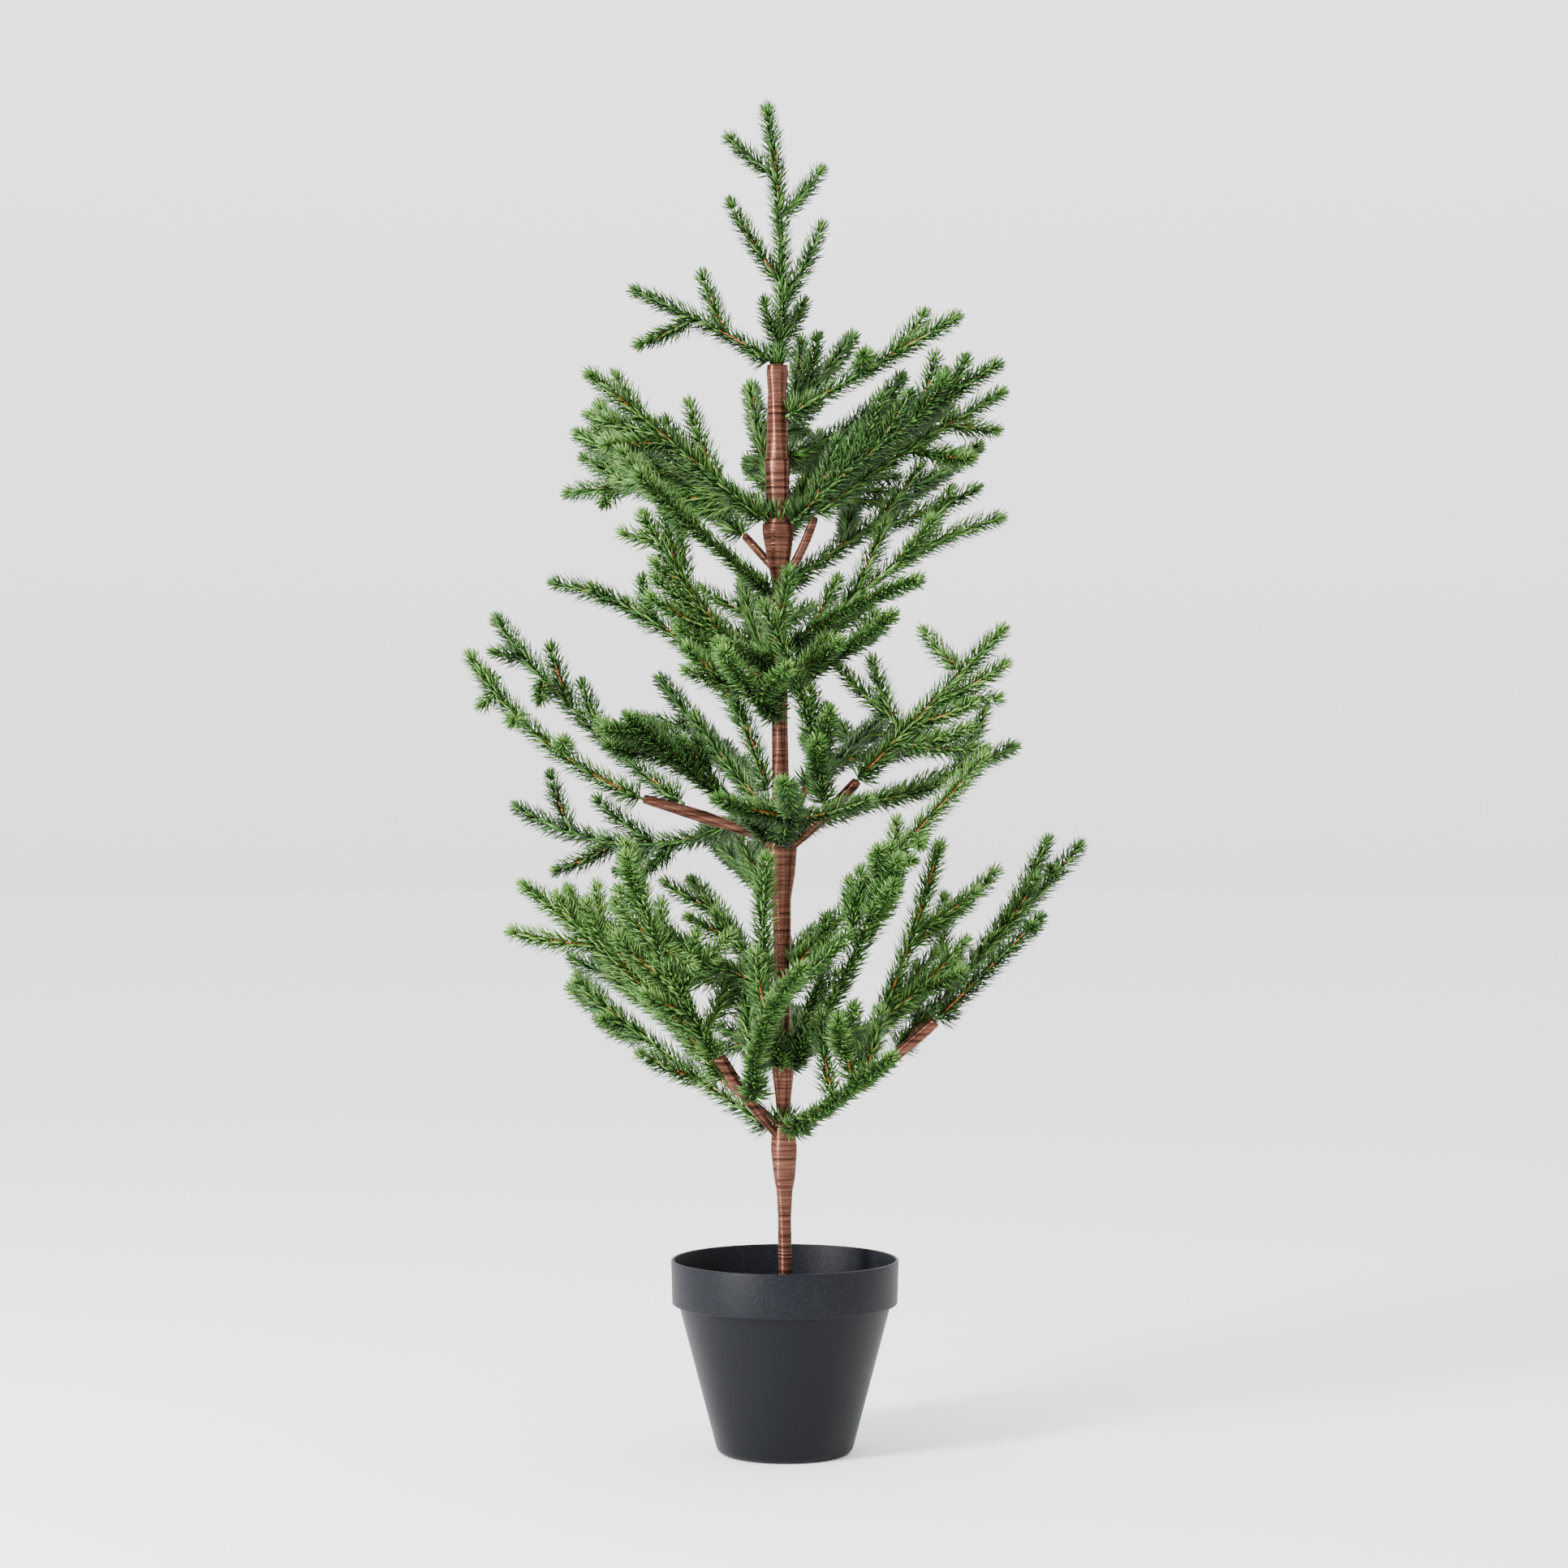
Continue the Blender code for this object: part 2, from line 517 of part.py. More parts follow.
# The pot's wall goes up the outside, over a rounded lip and down the inside to its floor.
corner = POT_FOOT_ROUND
wall_slope = (POT_NECK_RADIUS - POT_FOOT_RADIUS) / (POT_HEIGHT - POT_BAND_HEIGHT)
inner_foot = POT_FOOT_RADIUS - POT_WALL
pot_profile = [(0.0, 0.0), (POT_FOOT_RADIUS - corner, 0.0)]
for turn in (30, 60, 90):
    pot_profile.append((POT_FOOT_RADIUS - corner + corner * math.sin(math.radians(turn)),
                        corner - corner * math.cos(math.radians(turn))))
pot_profile += [
    (POT_NECK_RADIUS, POT_HEIGHT - POT_BAND_HEIGHT),
    (POT_BAND_FOOT_RADIUS, POT_HEIGHT - POT_BAND_HEIGHT),
    (POT_RIM_RADIUS, POT_HEIGHT - 1.2),
    (POT_RIM_RADIUS - 1.0, POT_HEIGHT),
    (POT_RIM_RADIUS - POT_WALL, POT_HEIGHT - 1.0),
    (POT_BAND_FOOT_RADIUS - POT_WALL, POT_HEIGHT - POT_BAND_HEIGHT + POT_WALL),
    (POT_NECK_RADIUS - POT_WALL, POT_HEIGHT - POT_BAND_HEIGHT),
    (inner_foot + wall_slope * POT_FLOOR, POT_FLOOR),
    (0.0, POT_FLOOR),
]
make("pot", *turned(pot_profile, POT_SIDES), pot_plastic, smooth=True)

# The filling meets the pot's wall and floor with a fine gap, and the trunk's flat cut stands on it.
fill_foot = POT_FLOOR + GAP
fill_profile = [
    (0.0, fill_foot),
    (inner_foot + wall_slope * fill_foot - 2 * GAP, fill_foot),
    (inner_foot + wall_slope * FILL_TOP - 2 * GAP, FILL_TOP),
    (0.0, FILL_TOP),
]
make("pot_filling", *turned(fill_profile, POT_SIDES), cast_fill, smooth=True)

# The trunk is turned to its profile, and each ring is moved to the trunk's leaning centre.
trunk_profile = [(0.0, TRUNK_PROFILE[0][0])] + [(r, z) for z, r in TRUNK_PROFILE] + [(0.0, TRUNK_TOP)]
verts, faces = turned(trunk_profile, TRUNK_SIDES)
verts = [(x + trunk_centre(z)[0], y, z) for x, y, z in verts]
make("trunk", verts, faces, wound_thread, smooth=True)

crowd, limbs, sprigs = set_out()

# Each limb is one tapering eight-sided tube with flat ends.
for name, (curve, radii, seat) in limbs.items():
    shares = np.linspace(0, 1, 5)
    corners = rings(curve(shares), np.interp(shares, (0.0, 0.5, 1.0), radii), 8, 0.0)
    verts = [tuple(c) for c in corners.reshape(-1, 3)] + [tuple(seat)]
    faces = [((j + 1) % 8, j, 40) for j in range(8)] + [tuple(range(32, 40))]
    for i in range(4):
        faces += [(8 * i + j, 8 * i + (j + 1) % 8, 8 * i + 8 + (j + 1) % 8, 8 * i + 8 + j) for j in range(8)]
    make(name, verts, faces, wound_thread, smooth=True)

wood = crowd.owners == 0
wood_points, wood_radii = crowd.points[wood], crowd.radii[wood]
for owner, (name, shoots) in enumerate(sprigs.items(), 1):
    parts = []
    for shoot, (curve, radius, tip_radius, seat) in enumerate(shoots):
        mine = (crowd.owners == owner) & (crowd.shoots == shoot)
        own, others = crowd.points[mine], crowd.points[~mine & ~wood]

        def keep(base, point):
            """True if a tooth stays nearer to its own shoot than to any other, and off trunk and limbs."""
            spots = np.vstack([point[None], 0.5 * (base + point), 0.25 * base + 0.75 * point])
            to_own = np.linalg.norm(spots[:, None] - own[None], axis=2).min(axis=1)
            to_others = np.linalg.norm(spots[:, None] - others[None], axis=2).min(axis=1)
            to_wood = (np.linalg.norm(spots[:, None] - wood_points[None], axis=2) - wood_radii).min(axis=1)
            return bool((to_others - to_own > 1.1).all() and (to_wood > 0.9).all())

        step = STEM_STEP if shoot == 0 else TWIG_STEP
        parts.append(toothed_shoot(curve, radius, tip_radius, seat, step, keep))
    joined(name, parts, needle_plastic)
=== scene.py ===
"""Artificial spruce in a black plastic pot, about 0.91 m tall.

The sections follow the tree as it is put together, and then come the floor, the lights and the camera. Sizes
are in millimetres and degrees until a mesh is written. The origin is the centre of the pot's foot, +Z is up,
+X is the tree's right and -Y is its front.
"""

import math
import random

import bpy
import numpy as np
from mathutils import Matrix


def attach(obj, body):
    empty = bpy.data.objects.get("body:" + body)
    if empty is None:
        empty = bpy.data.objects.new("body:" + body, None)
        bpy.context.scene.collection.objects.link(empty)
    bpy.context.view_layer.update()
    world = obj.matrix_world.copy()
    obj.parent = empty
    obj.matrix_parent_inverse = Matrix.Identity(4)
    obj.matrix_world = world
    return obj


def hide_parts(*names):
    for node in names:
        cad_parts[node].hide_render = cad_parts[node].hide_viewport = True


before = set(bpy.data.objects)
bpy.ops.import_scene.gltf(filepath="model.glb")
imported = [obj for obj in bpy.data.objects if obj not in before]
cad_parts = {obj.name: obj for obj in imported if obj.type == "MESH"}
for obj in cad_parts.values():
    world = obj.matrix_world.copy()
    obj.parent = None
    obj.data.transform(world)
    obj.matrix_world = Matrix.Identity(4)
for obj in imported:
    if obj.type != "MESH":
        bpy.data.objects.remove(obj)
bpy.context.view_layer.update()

# Pot
# A plain nursery pot, injection moulded in black polypropylene in one piece, with a wall 2 mm thick. It has a
# straight tapered body, a fine-grained rim band 30 mm high and a small rounded lip. The tree's weight is cast
# in it.
POT_HEIGHT = 131.0
POT_RIM_RADIUS = 77.2
POT_BAND_HEIGHT = 30.0
POT_BAND_FOOT_RADIUS = 76.4
POT_NECK_RADIUS = 72.0
POT_FOOT_RADIUS = 45.5
POT_FOOT_ROUND = 5.0
POT_NECK_ROUND = 0.7
POT_BAND_ROUND = 1.3
POT_LIP_ROUND = 1.1
POT_INNER_ROUND = 1.0
POT_WALL = 2.0
POT_FLOOR = 3.0
POT_SIDES = 144


def hue(code):
    """The linear colour of an sRGB hex value."""
    parts = [int(code[k:k + 2], 16) / 255 for k in (1, 3, 5)]
    return (*(p / 12.92 if p <= 0.04045 else ((p + 0.055) / 1.055) ** 2.4 for p in parts), 1.0)


def set_up(node, settings=(), links=()):
    """The node, with settings (socket or property to value) and links (socket to output) made."""
    for key, value in dict(settings).items():
        if isinstance(key, str) and hasattr(node, key):
            setattr(node, key, value)
        else:
            node.inputs[key].default_value = value
    for key, source in dict(links).items():
        node.id_data.links.new(source, node.inputs[key])
    return node


def add(tree, kind, settings=(), links=()):
    """A new shader node of this kind in a tree, set up."""
    return set_up(tree.nodes.new("ShaderNode" + kind), settings, links)


def finish(name, base, roughness, ior):
    """A material named for what the piece is made of, with its shader and its node tree."""
    material = bpy.data.materials.new(name)
    material.use_nodes = True
    tree = material.node_tree
    shader = tree.nodes["Principled BSDF"]
    set_up(shader, {"Base Color": hue(base), "Roughness": roughness, "IOR": ior})
    return material, tree, shader


def piece(name, corners, faces, material, kind, *nodes):
    """A mesh from an array of corners in millimetres and arrays of faces, which rides with the tree.

    Each array of faces holds the corner numbers of faces with equally many corners.
    """
    mesh = bpy.data.meshes.new(name)
    counts = np.concatenate([np.full(len(f), f.shape[1]) for f in faces])
    mesh.vertices.add(len(corners))
    mesh.vertices.foreach_set("co", (np.asarray(corners, np.float64) * 0.001).astype(np.float32).ravel())
    mesh.loops.add(int(counts.sum()))
    mesh.loops.foreach_set("vertex_index", np.concatenate([f.ravel() for f in faces]).astype(np.int32))
    mesh.polygons.add(len(counts))
    mesh.polygons.foreach_set("loop_start", (np.cumsum(counts) - counts).astype(np.int32))
    mesh.update(calc_edges=True)
    mesh.validate()
    mesh.materials.append(material)
    mesh.shade_smooth()
    thing = bpy.data.objects.new(name, mesh)
    bpy.context.scene.collection.objects.link(thing)
    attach(thing, "root")
    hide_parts(*nodes)


def tube(rings, foot, head):
    """Corners and faces of a tube through rings of corners, closed at each end by a fan to a pole."""
    rows, sides = rings.shape[:2]
    low = np.arange(rows - 1)[:, None] * sides
    here = np.arange(sides)[None]
    there = (here + 1) % sides
    high = low + sides
    quads = np.stack([low + here, low + there, high + there, high + here], axis=-1).reshape(-1, 4)
    first = np.full(sides, rows * sides)
    last = (rows - 1) * sides
    foot_fan = np.stack([first, there[0], here[0]], axis=-1)
    head_fan = np.stack([first + 1, last + here[0], last + there[0]], axis=-1)
    return np.vstack([rings.reshape(-1, 3), [foot, head]]), [quads, np.vstack([foot_fan, head_fan])]


def level_ring(turn):
    """Level directions at these angles from the x axis."""
    return np.stack([np.cos(turn), np.sin(turn), 0 * turn], axis=-1)


def turned(profile, sides):
    """Corners and faces of a turned body: the profile's (radius, height) rows carried round the z axis.

    The first and last rows of the profile lie on the axis and become the poles.
    """
    profile = np.asarray(profile, float)
    turn = 2 * np.pi * np.arange(sides) / sides
    radius, height = profile[1:-1, 0, None], profile[1:-1, 1, None]
    rings = np.stack([radius * np.cos(turn), radius * np.sin(turn), height + 0 * turn], axis=-1)
    return tube(rings, (0.0, 0.0, profile[0, 1]), (0.0, 0.0, profile[-1, 1]))


def rounded(points, steps=5):
    """A profile whose corners are cut back by their third number and bridged by a quadratic curve."""
    path = []
    for k, (x, y, cut) in enumerate(points):
        spot = np.array([x, y])
        if cut == 0:
            path.append(spot)
            continue
        before = np.array(points[k - 1][:2])
        after = np.array(points[k + 1][:2])
        start = spot + (before - spot) * cut / np.linalg.norm(before - spot)
        end = spot + (after - spot) * cut / np.linalg.norm(after - spot)
        share = np.linspace(0, 1, steps)[:, None]
        path += list(start * (1 - share) ** 2 + 2 * spot * share * (1 - share) + end * share**2)
    return np.array(path)


wall_slope = (POT_NECK_RADIUS - POT_FOOT_RADIUS) / (POT_HEIGHT - POT_BAND_HEIGHT)
inner_foot = POT_FOOT_RADIUS - POT_WALL
band_foot = POT_HEIGHT - POT_BAND_HEIGHT
# The outline runs from the middle of the underside up the outer wall, over the lip and down the inner wall. A
# row's third number is how far its corner is rounded, and a row with 0 only divides a long straight run.
pot_profile = rounded([
    (0.0, 0.0, 0),
    (20.0, 0.0, 0),
    (POT_FOOT_RADIUS, 0.0, POT_FOOT_ROUND),
    (POT_FOOT_RADIUS + wall_slope * 30, 30.0, 0),
    (POT_FOOT_RADIUS + wall_slope * 65, 65.0, 0),
    (POT_NECK_RADIUS, band_foot, POT_NECK_ROUND),
    (POT_BAND_FOOT_RADIUS, band_foot, POT_BAND_ROUND),
    (0.5 * (POT_BAND_FOOT_RADIUS + POT_RIM_RADIUS), band_foot + 0.5 * POT_BAND_HEIGHT, 0),
    (POT_RIM_RADIUS, POT_HEIGHT, POT_LIP_ROUND),
    (POT_RIM_RADIUS - POT_WALL, POT_HEIGHT, 0.8),
    (POT_BAND_FOOT_RADIUS - POT_WALL, band_foot + POT_WALL, POT_INNER_ROUND),
    (POT_NECK_RADIUS - POT_WALL, band_foot, POT_INNER_ROUND),
    (inner_foot + wall_slope * 50, 50.0, 0),
    (inner_foot + wall_slope * POT_FLOOR, POT_FLOOR, 0),
    (0.0, POT_FLOOR, 0),
])

# Polypropylene with carbon black, moulded against a spark-eroded tool: a dark, slightly blue grey with a
# satin sheen. The body's grain is about 0.5 mm and faint. The band's is about 1 mm, stronger, and speckled a
# little paler.
polypropylene, tree, shader = finish("moulded_black_polypropylene", "#090B10", 0.42, 1.49)
where = add(tree, "TexCoord").outputs["Object"]
apart = add(tree, "SeparateXYZ", links={0: where})
band = add(tree, "MapRange", {"From Min": 0.1000, "From Max": 0.1016}, {"Value": apart.outputs["Z"]})
fine = add(tree, "TexNoise", {"Scale": 1900.0, "Detail": 2.0}, {"Vector": where})
coarse = add(tree, "TexNoise", {"Scale": 950.0, "Detail": 3.0}, {"Vector": where})
cloud = add(tree, "TexNoise", {"Scale": 22.0, "Detail": 2.0}, {"Vector": where})
speck = add(tree, "MapRange", {"From Min": 0.50, "From Max": 0.72}, {"Value": coarse.outputs["Fac"]})
on_band = add(tree, "Math", {"operation": "MULTIPLY"}, {0: speck.outputs[0], 1: band.outputs[0]})
tone = add(tree, "Mix", {"data_type": "RGBA", "A": hue("#090B10"), "B": hue("#1B1E24")},
           {"Factor": on_band.outputs[0]})
gloss = add(tree, "MapRange", {"To Min": 0.40, "To Max": 0.52}, {"Value": cloud.outputs["Fac"]})
grain = add(tree, "Mix", {"data_type": "FLOAT"},
            {"Factor": band.outputs[0], "A": fine.outputs["Fac"], "B": coarse.outputs["Fac"]})
depth = add(tree, "MapRange", {"To Min": 0.25, "To Max": 0.8}, {"Value": band.outputs[0]})
bump = add(tree, "Bump", {"Distance": 0.00025},
           {"Height": grain.outputs["Result"], "Strength": depth.outputs[0]})
set_up(shader, {"Specular IOR Level": 0.13},
       {"Base Color": tone.outputs["Result"], "Roughness": gloss.outputs[0], "Normal": bump.outputs[0]})
piece("pot_moulding", *turned(pot_profile, POT_SIDES), polypropylene, "pot_plastic", "pot")

# Cast weight
# A plug of cement is poured into the pot round the foot of the stem and keeps the tree upright. Its top lies
# well below the rim, is stained dark, has set in low ripples and has crept up a little at the wall.
FILL_TOP = 85.0
FILL_FOOT = 3.6
FILL_CLEAR = 0.4
FILL_SUNK = 0.7
RIPPLE = 0.28
CREEP = 1.5
CREEP_REACH = 2.2
fill_reach = inner_foot + wall_slope * FILL_TOP - FILL_CLEAR
across = np.linspace(3.0, fill_reach - 2.5, 44)
across = np.concatenate([across, [fill_reach - 1.2, fill_reach - 0.3, fill_reach]])
turn = 2 * np.pi * np.arange(POT_SIDES) / POT_SIDES
spread, angle = np.meshgrid(across, turn, indexing="ij")
east, north = spread * np.cos(angle), spread * np.sin(angle)
ripple = (np.sin(east / 6.1 + 1.3) * np.cos(north / 7.7) + 0.6 * np.sin(east / 2.9 - north / 3.7)
          + 0.4 * np.cos(east / 1.7 + north / 2.3 + 0.5))
creep = CREEP * np.exp(-(fill_reach - spread) / CREEP_REACH)
top_rows = np.stack([east, north, FILL_TOP - FILL_SUNK + RIPPLE * ripple + creep], axis=-1)[::-1]
foot_reach = inner_foot + wall_slope * 4 - FILL_CLEAR
foot_row = foot_reach * level_ring(turn) + (0.0, 0.0, FILL_FOOT)
fill_rings = np.concatenate([foot_row[None], top_rows])
plug = tube(fill_rings, (0.0, 0.0, FILL_FOOT), (0.0, 0.0, FILL_TOP - FILL_SUNK))

# Cement mortar stained with black pigment: matt, with sand grains about 1.5 mm across and pale lime bloom.
mortar, tree, shader = finish("stained_cement_mortar", "#1D1D1F", 0.93, 1.52)
where = add(tree, "TexCoord").outputs["Object"]
bloom = add(tree, "TexNoise", {"Scale": 45.0, "Detail": 5.0}, {"Vector": where})
sand = add(tree, "TexVoronoi", {"Scale": 650.0}, {"Vector": where})
lime = add(tree, "MapRange", {"From Min": 0.45, "From Max": 0.8}, {"Value": bloom.outputs["Fac"]})
tone = add(tree, "Mix", {"data_type": "RGBA", "A": hue("#18181A"), "B": hue("#3A3937")},
           {"Factor": lime.outputs[0]})
bump = add(tree, "Bump", {"Distance": 0.0006, "Strength": 0.7}, {"Height": sand.outputs["Distance"]})
set_up(shader, links={"Base Color": tone.outputs["Result"], "Normal": bump.outputs[0]})
piece("cast_weight", *plug, mortar, "cast_fill", "pot_filling")

# Stem
# The stem is stacked from short sections, in which the wires of the limbs and sprigs are bound together.
# Copper-brown rayon floss is wound tightly round it from foot to top, and swells over each joint where more
# wires lie inside.
TRUNK_TOP = 737.0
TRUNK_LEAN = -5.5
TRUNK_LEAN_FROM = 130.0
# Each row is a height and the radius there. The wound body itself starts STEM_SUNK lower, inside the cast
# weight.
TRUNK_PROFILE = (
    (FILL_TOP + 0.35, 4.5), (160.0, 4.4), (177.0, 5.4), (187.0, 7.2), (206.0, 8.9), (217.0, 8.1),
    (221.0, 7.4), (231.0, 4.6), (254.0, 7.2), (268.0, 6.6), (274.0, 5.9), (320.0, 5.8), (375.0, 6.1),
    (392.0, 8.8), (413.0, 9.4), (419.0, 7.4), (430.0, 5.8), (500.0, 5.5), (576.0, 5.1), (588.0, 4.6),
    (604.0, 7.6), (624.0, 9.3), (632.0, 8.4), (640.0, 6.9), (658.0, 8.0), (674.0, 7.4), (690.0, 7.0),
    (720.0, 6.1), (733.0, 7.4), (TRUNK_TOP, 6.8),
)
# The winding of a section ends in a square shoulder: its height, its step, and how far down it swells.
SHOULDERS = (
    (220.5, 0.5, 6.0), (270.5, 1.3, 20.0), (416.0, 1.4, 22.0), (630.0, 1.5, 26.0), (674.0, 1.2, 14.0),
)
THREAD_PITCH = 1.15
THREAD_RISE = 0.17
THREAD_ROWS = 4
THREAD_SPREAD = 0.05
LOOSE_ABOVE = 0.965
LOOSE_RISE = 0.16
STEM_SIDES = 26
STEM_SUNK = 1.2
BLUR_ROWS = 14
BLUR_SPREAD = 5.0


def trunk_centre(height):
    """Centre of the stem at a height, or at each of many: upright at first, then leaning evenly."""
    rise = np.maximum(0.0, height - TRUNK_LEAN_FROM) / (TRUNK_TOP - TRUNK_LEAN_FROM)
    return np.stack([TRUNK_LEAN * rise, 0 * rise, height + 0 * rise], axis=-1)


def trunk_radius(height):
    """Radius of the stem at a height, or at each of many, straight between the heights of its profile."""
    return np.interp(height, *np.array(TRUNK_PROFILE).T)


def unit(vector):
    """The vector, or each row of vectors, at length 1."""
    return vector / np.linalg.norm(vector, axis=-1, keepdims=True)


def frames(points):
    """Directions along and two across each point of a path, carried along it without twist."""
    along = unit(np.gradient(points, axis=0))
    first = unit(np.cross(along[0], (0.3, 1.0, 0.2)))
    across = [first]
    for direction in along[1:]:
        across.append(unit(across[-1] - direction * float(across[-1] @ direction)))
    across = np.array(across)
    return along, across, np.cross(along, across)


def around(angle, first, second):
    """Directions at these angles from one direction to a second that is square to it."""
    return np.cos(angle)[..., None] * first + np.sin(angle)[..., None] * second


def skinned(points, radii):
    """Corners and faces of a body along a path, from its radius at each point (row) and turn (column)."""
    _, across, other = frames(points)
    turn = 2 * np.pi * np.arange(radii.shape[1])[None] / radii.shape[1]
    ring = around(turn, across[:, None], other[:, None])
    return tube(points[:, None] + radii[..., None] * ring, points[0], points[-1])


def wound(points, radii, sides, phase):
    """Corners and faces of a thread-wound body along a path with points a quarter of the pitch apart.

    Three soft lobes of 2 to 4 % drift along the body. Each turn of thread is an arch on it, |sin(pi t)| to
    the power 0.6, with a small step of its own that is drawn from a seed. A few turns lie loose and proud.
    """
    length = np.concatenate([[0.0], np.cumsum(np.linalg.norm(np.diff(points, axis=0), axis=1))])
    turn = 2 * np.pi * np.arange(sides)[None] / sides
    thread = length[:, None] / THREAD_PITCH + turn / (2 * np.pi)
    arch = THREAD_RISE * (np.abs(np.sin(np.pi * thread)) ** 0.6 - 0.6)
    steps = np.random.default_rng(phase).normal(0, THREAD_SPREAD, int(thread.max()) + 2)
    loose = np.random.default_rng(phase + 50).uniform(0, 1, len(steps)) > LOOSE_ABOVE
    steps = np.where(loose, steps + LOOSE_RISE, steps)[np.floor(thread).astype(int)]
    s = length[:, None]
    lobes = (0.030 * np.sin(3 * turn + s / 31 + phase) + 0.035 * np.sin(2 * turn - s / 43 + 2 * phase)
             + 0.020 * np.sin(5 * turn + s / 11))
    return skinned(points, radii[:, None] * (1 + lobes) + arch + steps)


# The profile's corners are blurred over a few rows, as the floss bridges them, and then the shoulders are
# added.
heights = np.arange(FILL_TOP - STEM_SUNK, TRUNK_TOP, THREAD_PITCH / THREAD_ROWS)
stem_radii = trunk_radius(heights)
blur = np.exp(-0.5 * (np.arange(-BLUR_ROWS, BLUR_ROWS + 1) / BLUR_SPREAD) ** 2)
stem_radii = np.convolve(np.pad(stem_radii, BLUR_ROWS, mode="edge"), blur / blur.sum(), mode="valid")
for top, drop, swell in SHOULDERS:
    stem_radii += np.where(heights < top, drop * np.clip(1 - (top - heights) / swell, 0, 1), 0)
stem_parts = wound(trunk_centre(heights), stem_radii, STEM_SIDES, 1)

# Rayon floss: many fine filaments laid side by side, so the eye sees a silky copper highlight that runs up
# the stem and darker grooves between the turns. The shader is part metallic for that, and its edge sheen is
# tinted.
# Brown and copper bands take turns every 2 or 3 mm: they are painted light, copper for painted sheen on the
# turns and dark brown for painted shade between them. Slow patches darken it here and there. The thread is
# drawn 1.15 mm wide, about double, so that its turns show.
floss, tree, shader = finish("wound_rayon_floss", "#51352A", 0.25, 1.53)
where = add(tree, "TexCoord").outputs["Object"]
bands = add(tree, "Mapping", {"Scale": (12.0, 12.0, 420.0)}, {"Vector": where})
turns = add(tree, "TexNoise", {"Scale": 1.0, "Detail": 3.0}, {"Vector": bands.outputs[0]})
patch = add(tree, "TexNoise", {"Scale": 38.0, "Detail": 2.0}, {"Vector": where})
apart = add(tree, "MapRange", {"From Min": 0.34, "From Max": 0.66}, {"Value": turns.outputs["Fac"]})
# Painted light: the dark brown and copper bands paint shade and sheen on the wound turns.
tone = add(tree, "Mix", {"data_type": "RGBA", "A": hue("#2E1A13"), "B": hue("#7A5446")},
           {"Factor": apart.outputs[0]})
shade = add(tree, "Mix", {"data_type": "RGBA", "blend_type": "MULTIPLY", "B": hue("#D8C4BA")},
            {"Factor": patch.outputs["Fac"], "A": tone.outputs["Result"]})
set_up(shader, {"Specular IOR Level": 0.3, "Metallic": 0.65, "Specular Tint": hue("#BFA79A")},
       {"Base Color": shade.outputs["Result"]})
piece("stem_winding", *stem_parts, floss, "wound_thread", "trunk")

# Limbs
# Eight short arms of bundled wire, wound with the same floss, carry the outer sprigs. They are bound into the
# stem at three of its joints. Their ends swell a little over the sprigs' wires.
EYE_AWAY = 2350.0
EYE_UP = 453.0
GAP = 0.35
SEAT = 0.8
SAMPLE_STEP = 3.0
LIMB_FOOT = 6.0
LIMB_SIDES = 18
# Name, root height, tip, bow, and the radii at root, middle and end. A tip is (reach, height, near): where an
# eye EYE_AWAY before the stem and EYE_UP above the floor sees it, and how far before the stem it stands. A
# shoot starts where its solid does: GAP clear of the surface that it leaves, and SEAT further out for the
# solid's flat foot.
LIMBS = (
    ("limb_upper_right", 600, (20, 634, 10), 1, (3.0, 3.0, 2.8)),
    ("limb_upper_left", 604, (-27, 621, -24), 0, (2.8, 2.9, 2.7)),
    ("limb_middle_left", 416, (-96, 443, 6), -1, (2.4, 4.5, 3.3)),
    ("limb_middle_right", 414, (49, 455, 16), 1, (2.8, 4.3, 3.7)),
    ("limb_middle_back", 420, (14, 450, -34), 0, (2.6, 2.8, 2.6)),
    ("limb_lower_left_front", 219, (-45, 268, 38), 1, (2.5, 4.1, 4.8)),
    ("limb_lower_left", 226, (-53, 265, -8), 1, (2.4, 3.0, 3.2)),
    ("limb_lower_right", 219, (102, 292, 10), 2, (2.6, 3.7, 4.1)),
)


def place(reach, height, near):
    """True point of what is seen at (reach, height) and stands `near` before the stem."""
    reach, height, near = np.broadcast_arrays(*(np.asarray(v, float) for v in (reach, height, near)))
    share = 1.0 - near / EYE_AWAY
    return np.stack([reach * share, -near, EYE_UP + (height - EYE_UP) * share], axis=-1)


def seen(point):
    """Inverse of place: the (reach, height, near) at which a true point is seen."""
    near = -point[1]
    share = 1.0 - near / EYE_AWAY
    return np.array([point[0] / share, EYE_UP + (point[2] - EYE_UP) / share, near])


def bowed(root, tip, bow):
    """Curve from root to tip in seen units: a parabola whose middle lies `bow` to the outer, lower side."""
    root, tip = np.asarray(root, float), np.asarray(tip, float)
    across, rise = tip[0] - root[0], tip[1] - root[1]
    side = 1.0 if across >= 0 else -1.0
    normal = np.array([side * rise, -side * across, 0.0]) / max(math.hypot(across, rise), 1.0)
    bend = (root + tip) / 2 + 2 * bow * normal

    def curve(share):
        share = np.asarray(share, float)[..., None]
        points = root * (1 - share) ** 2 + 2 * bend * share * (1 - share) + tip * share**2
        return place(points[..., 0], points[..., 1], points[..., 2])

    return curve


def length_of(curve):
    """Length of a curve, from 24 chords."""
    points = curve(np.linspace(0, 1, 25))
    return float(np.linalg.norm(np.diff(points, axis=0), axis=1).sum())


def samples_of(curve):
    """Points along a curve, about 3 mm apart."""
    return curve(np.linspace(0, 1, max(3, int(length_of(curve) / SAMPLE_STEP) + 1)))


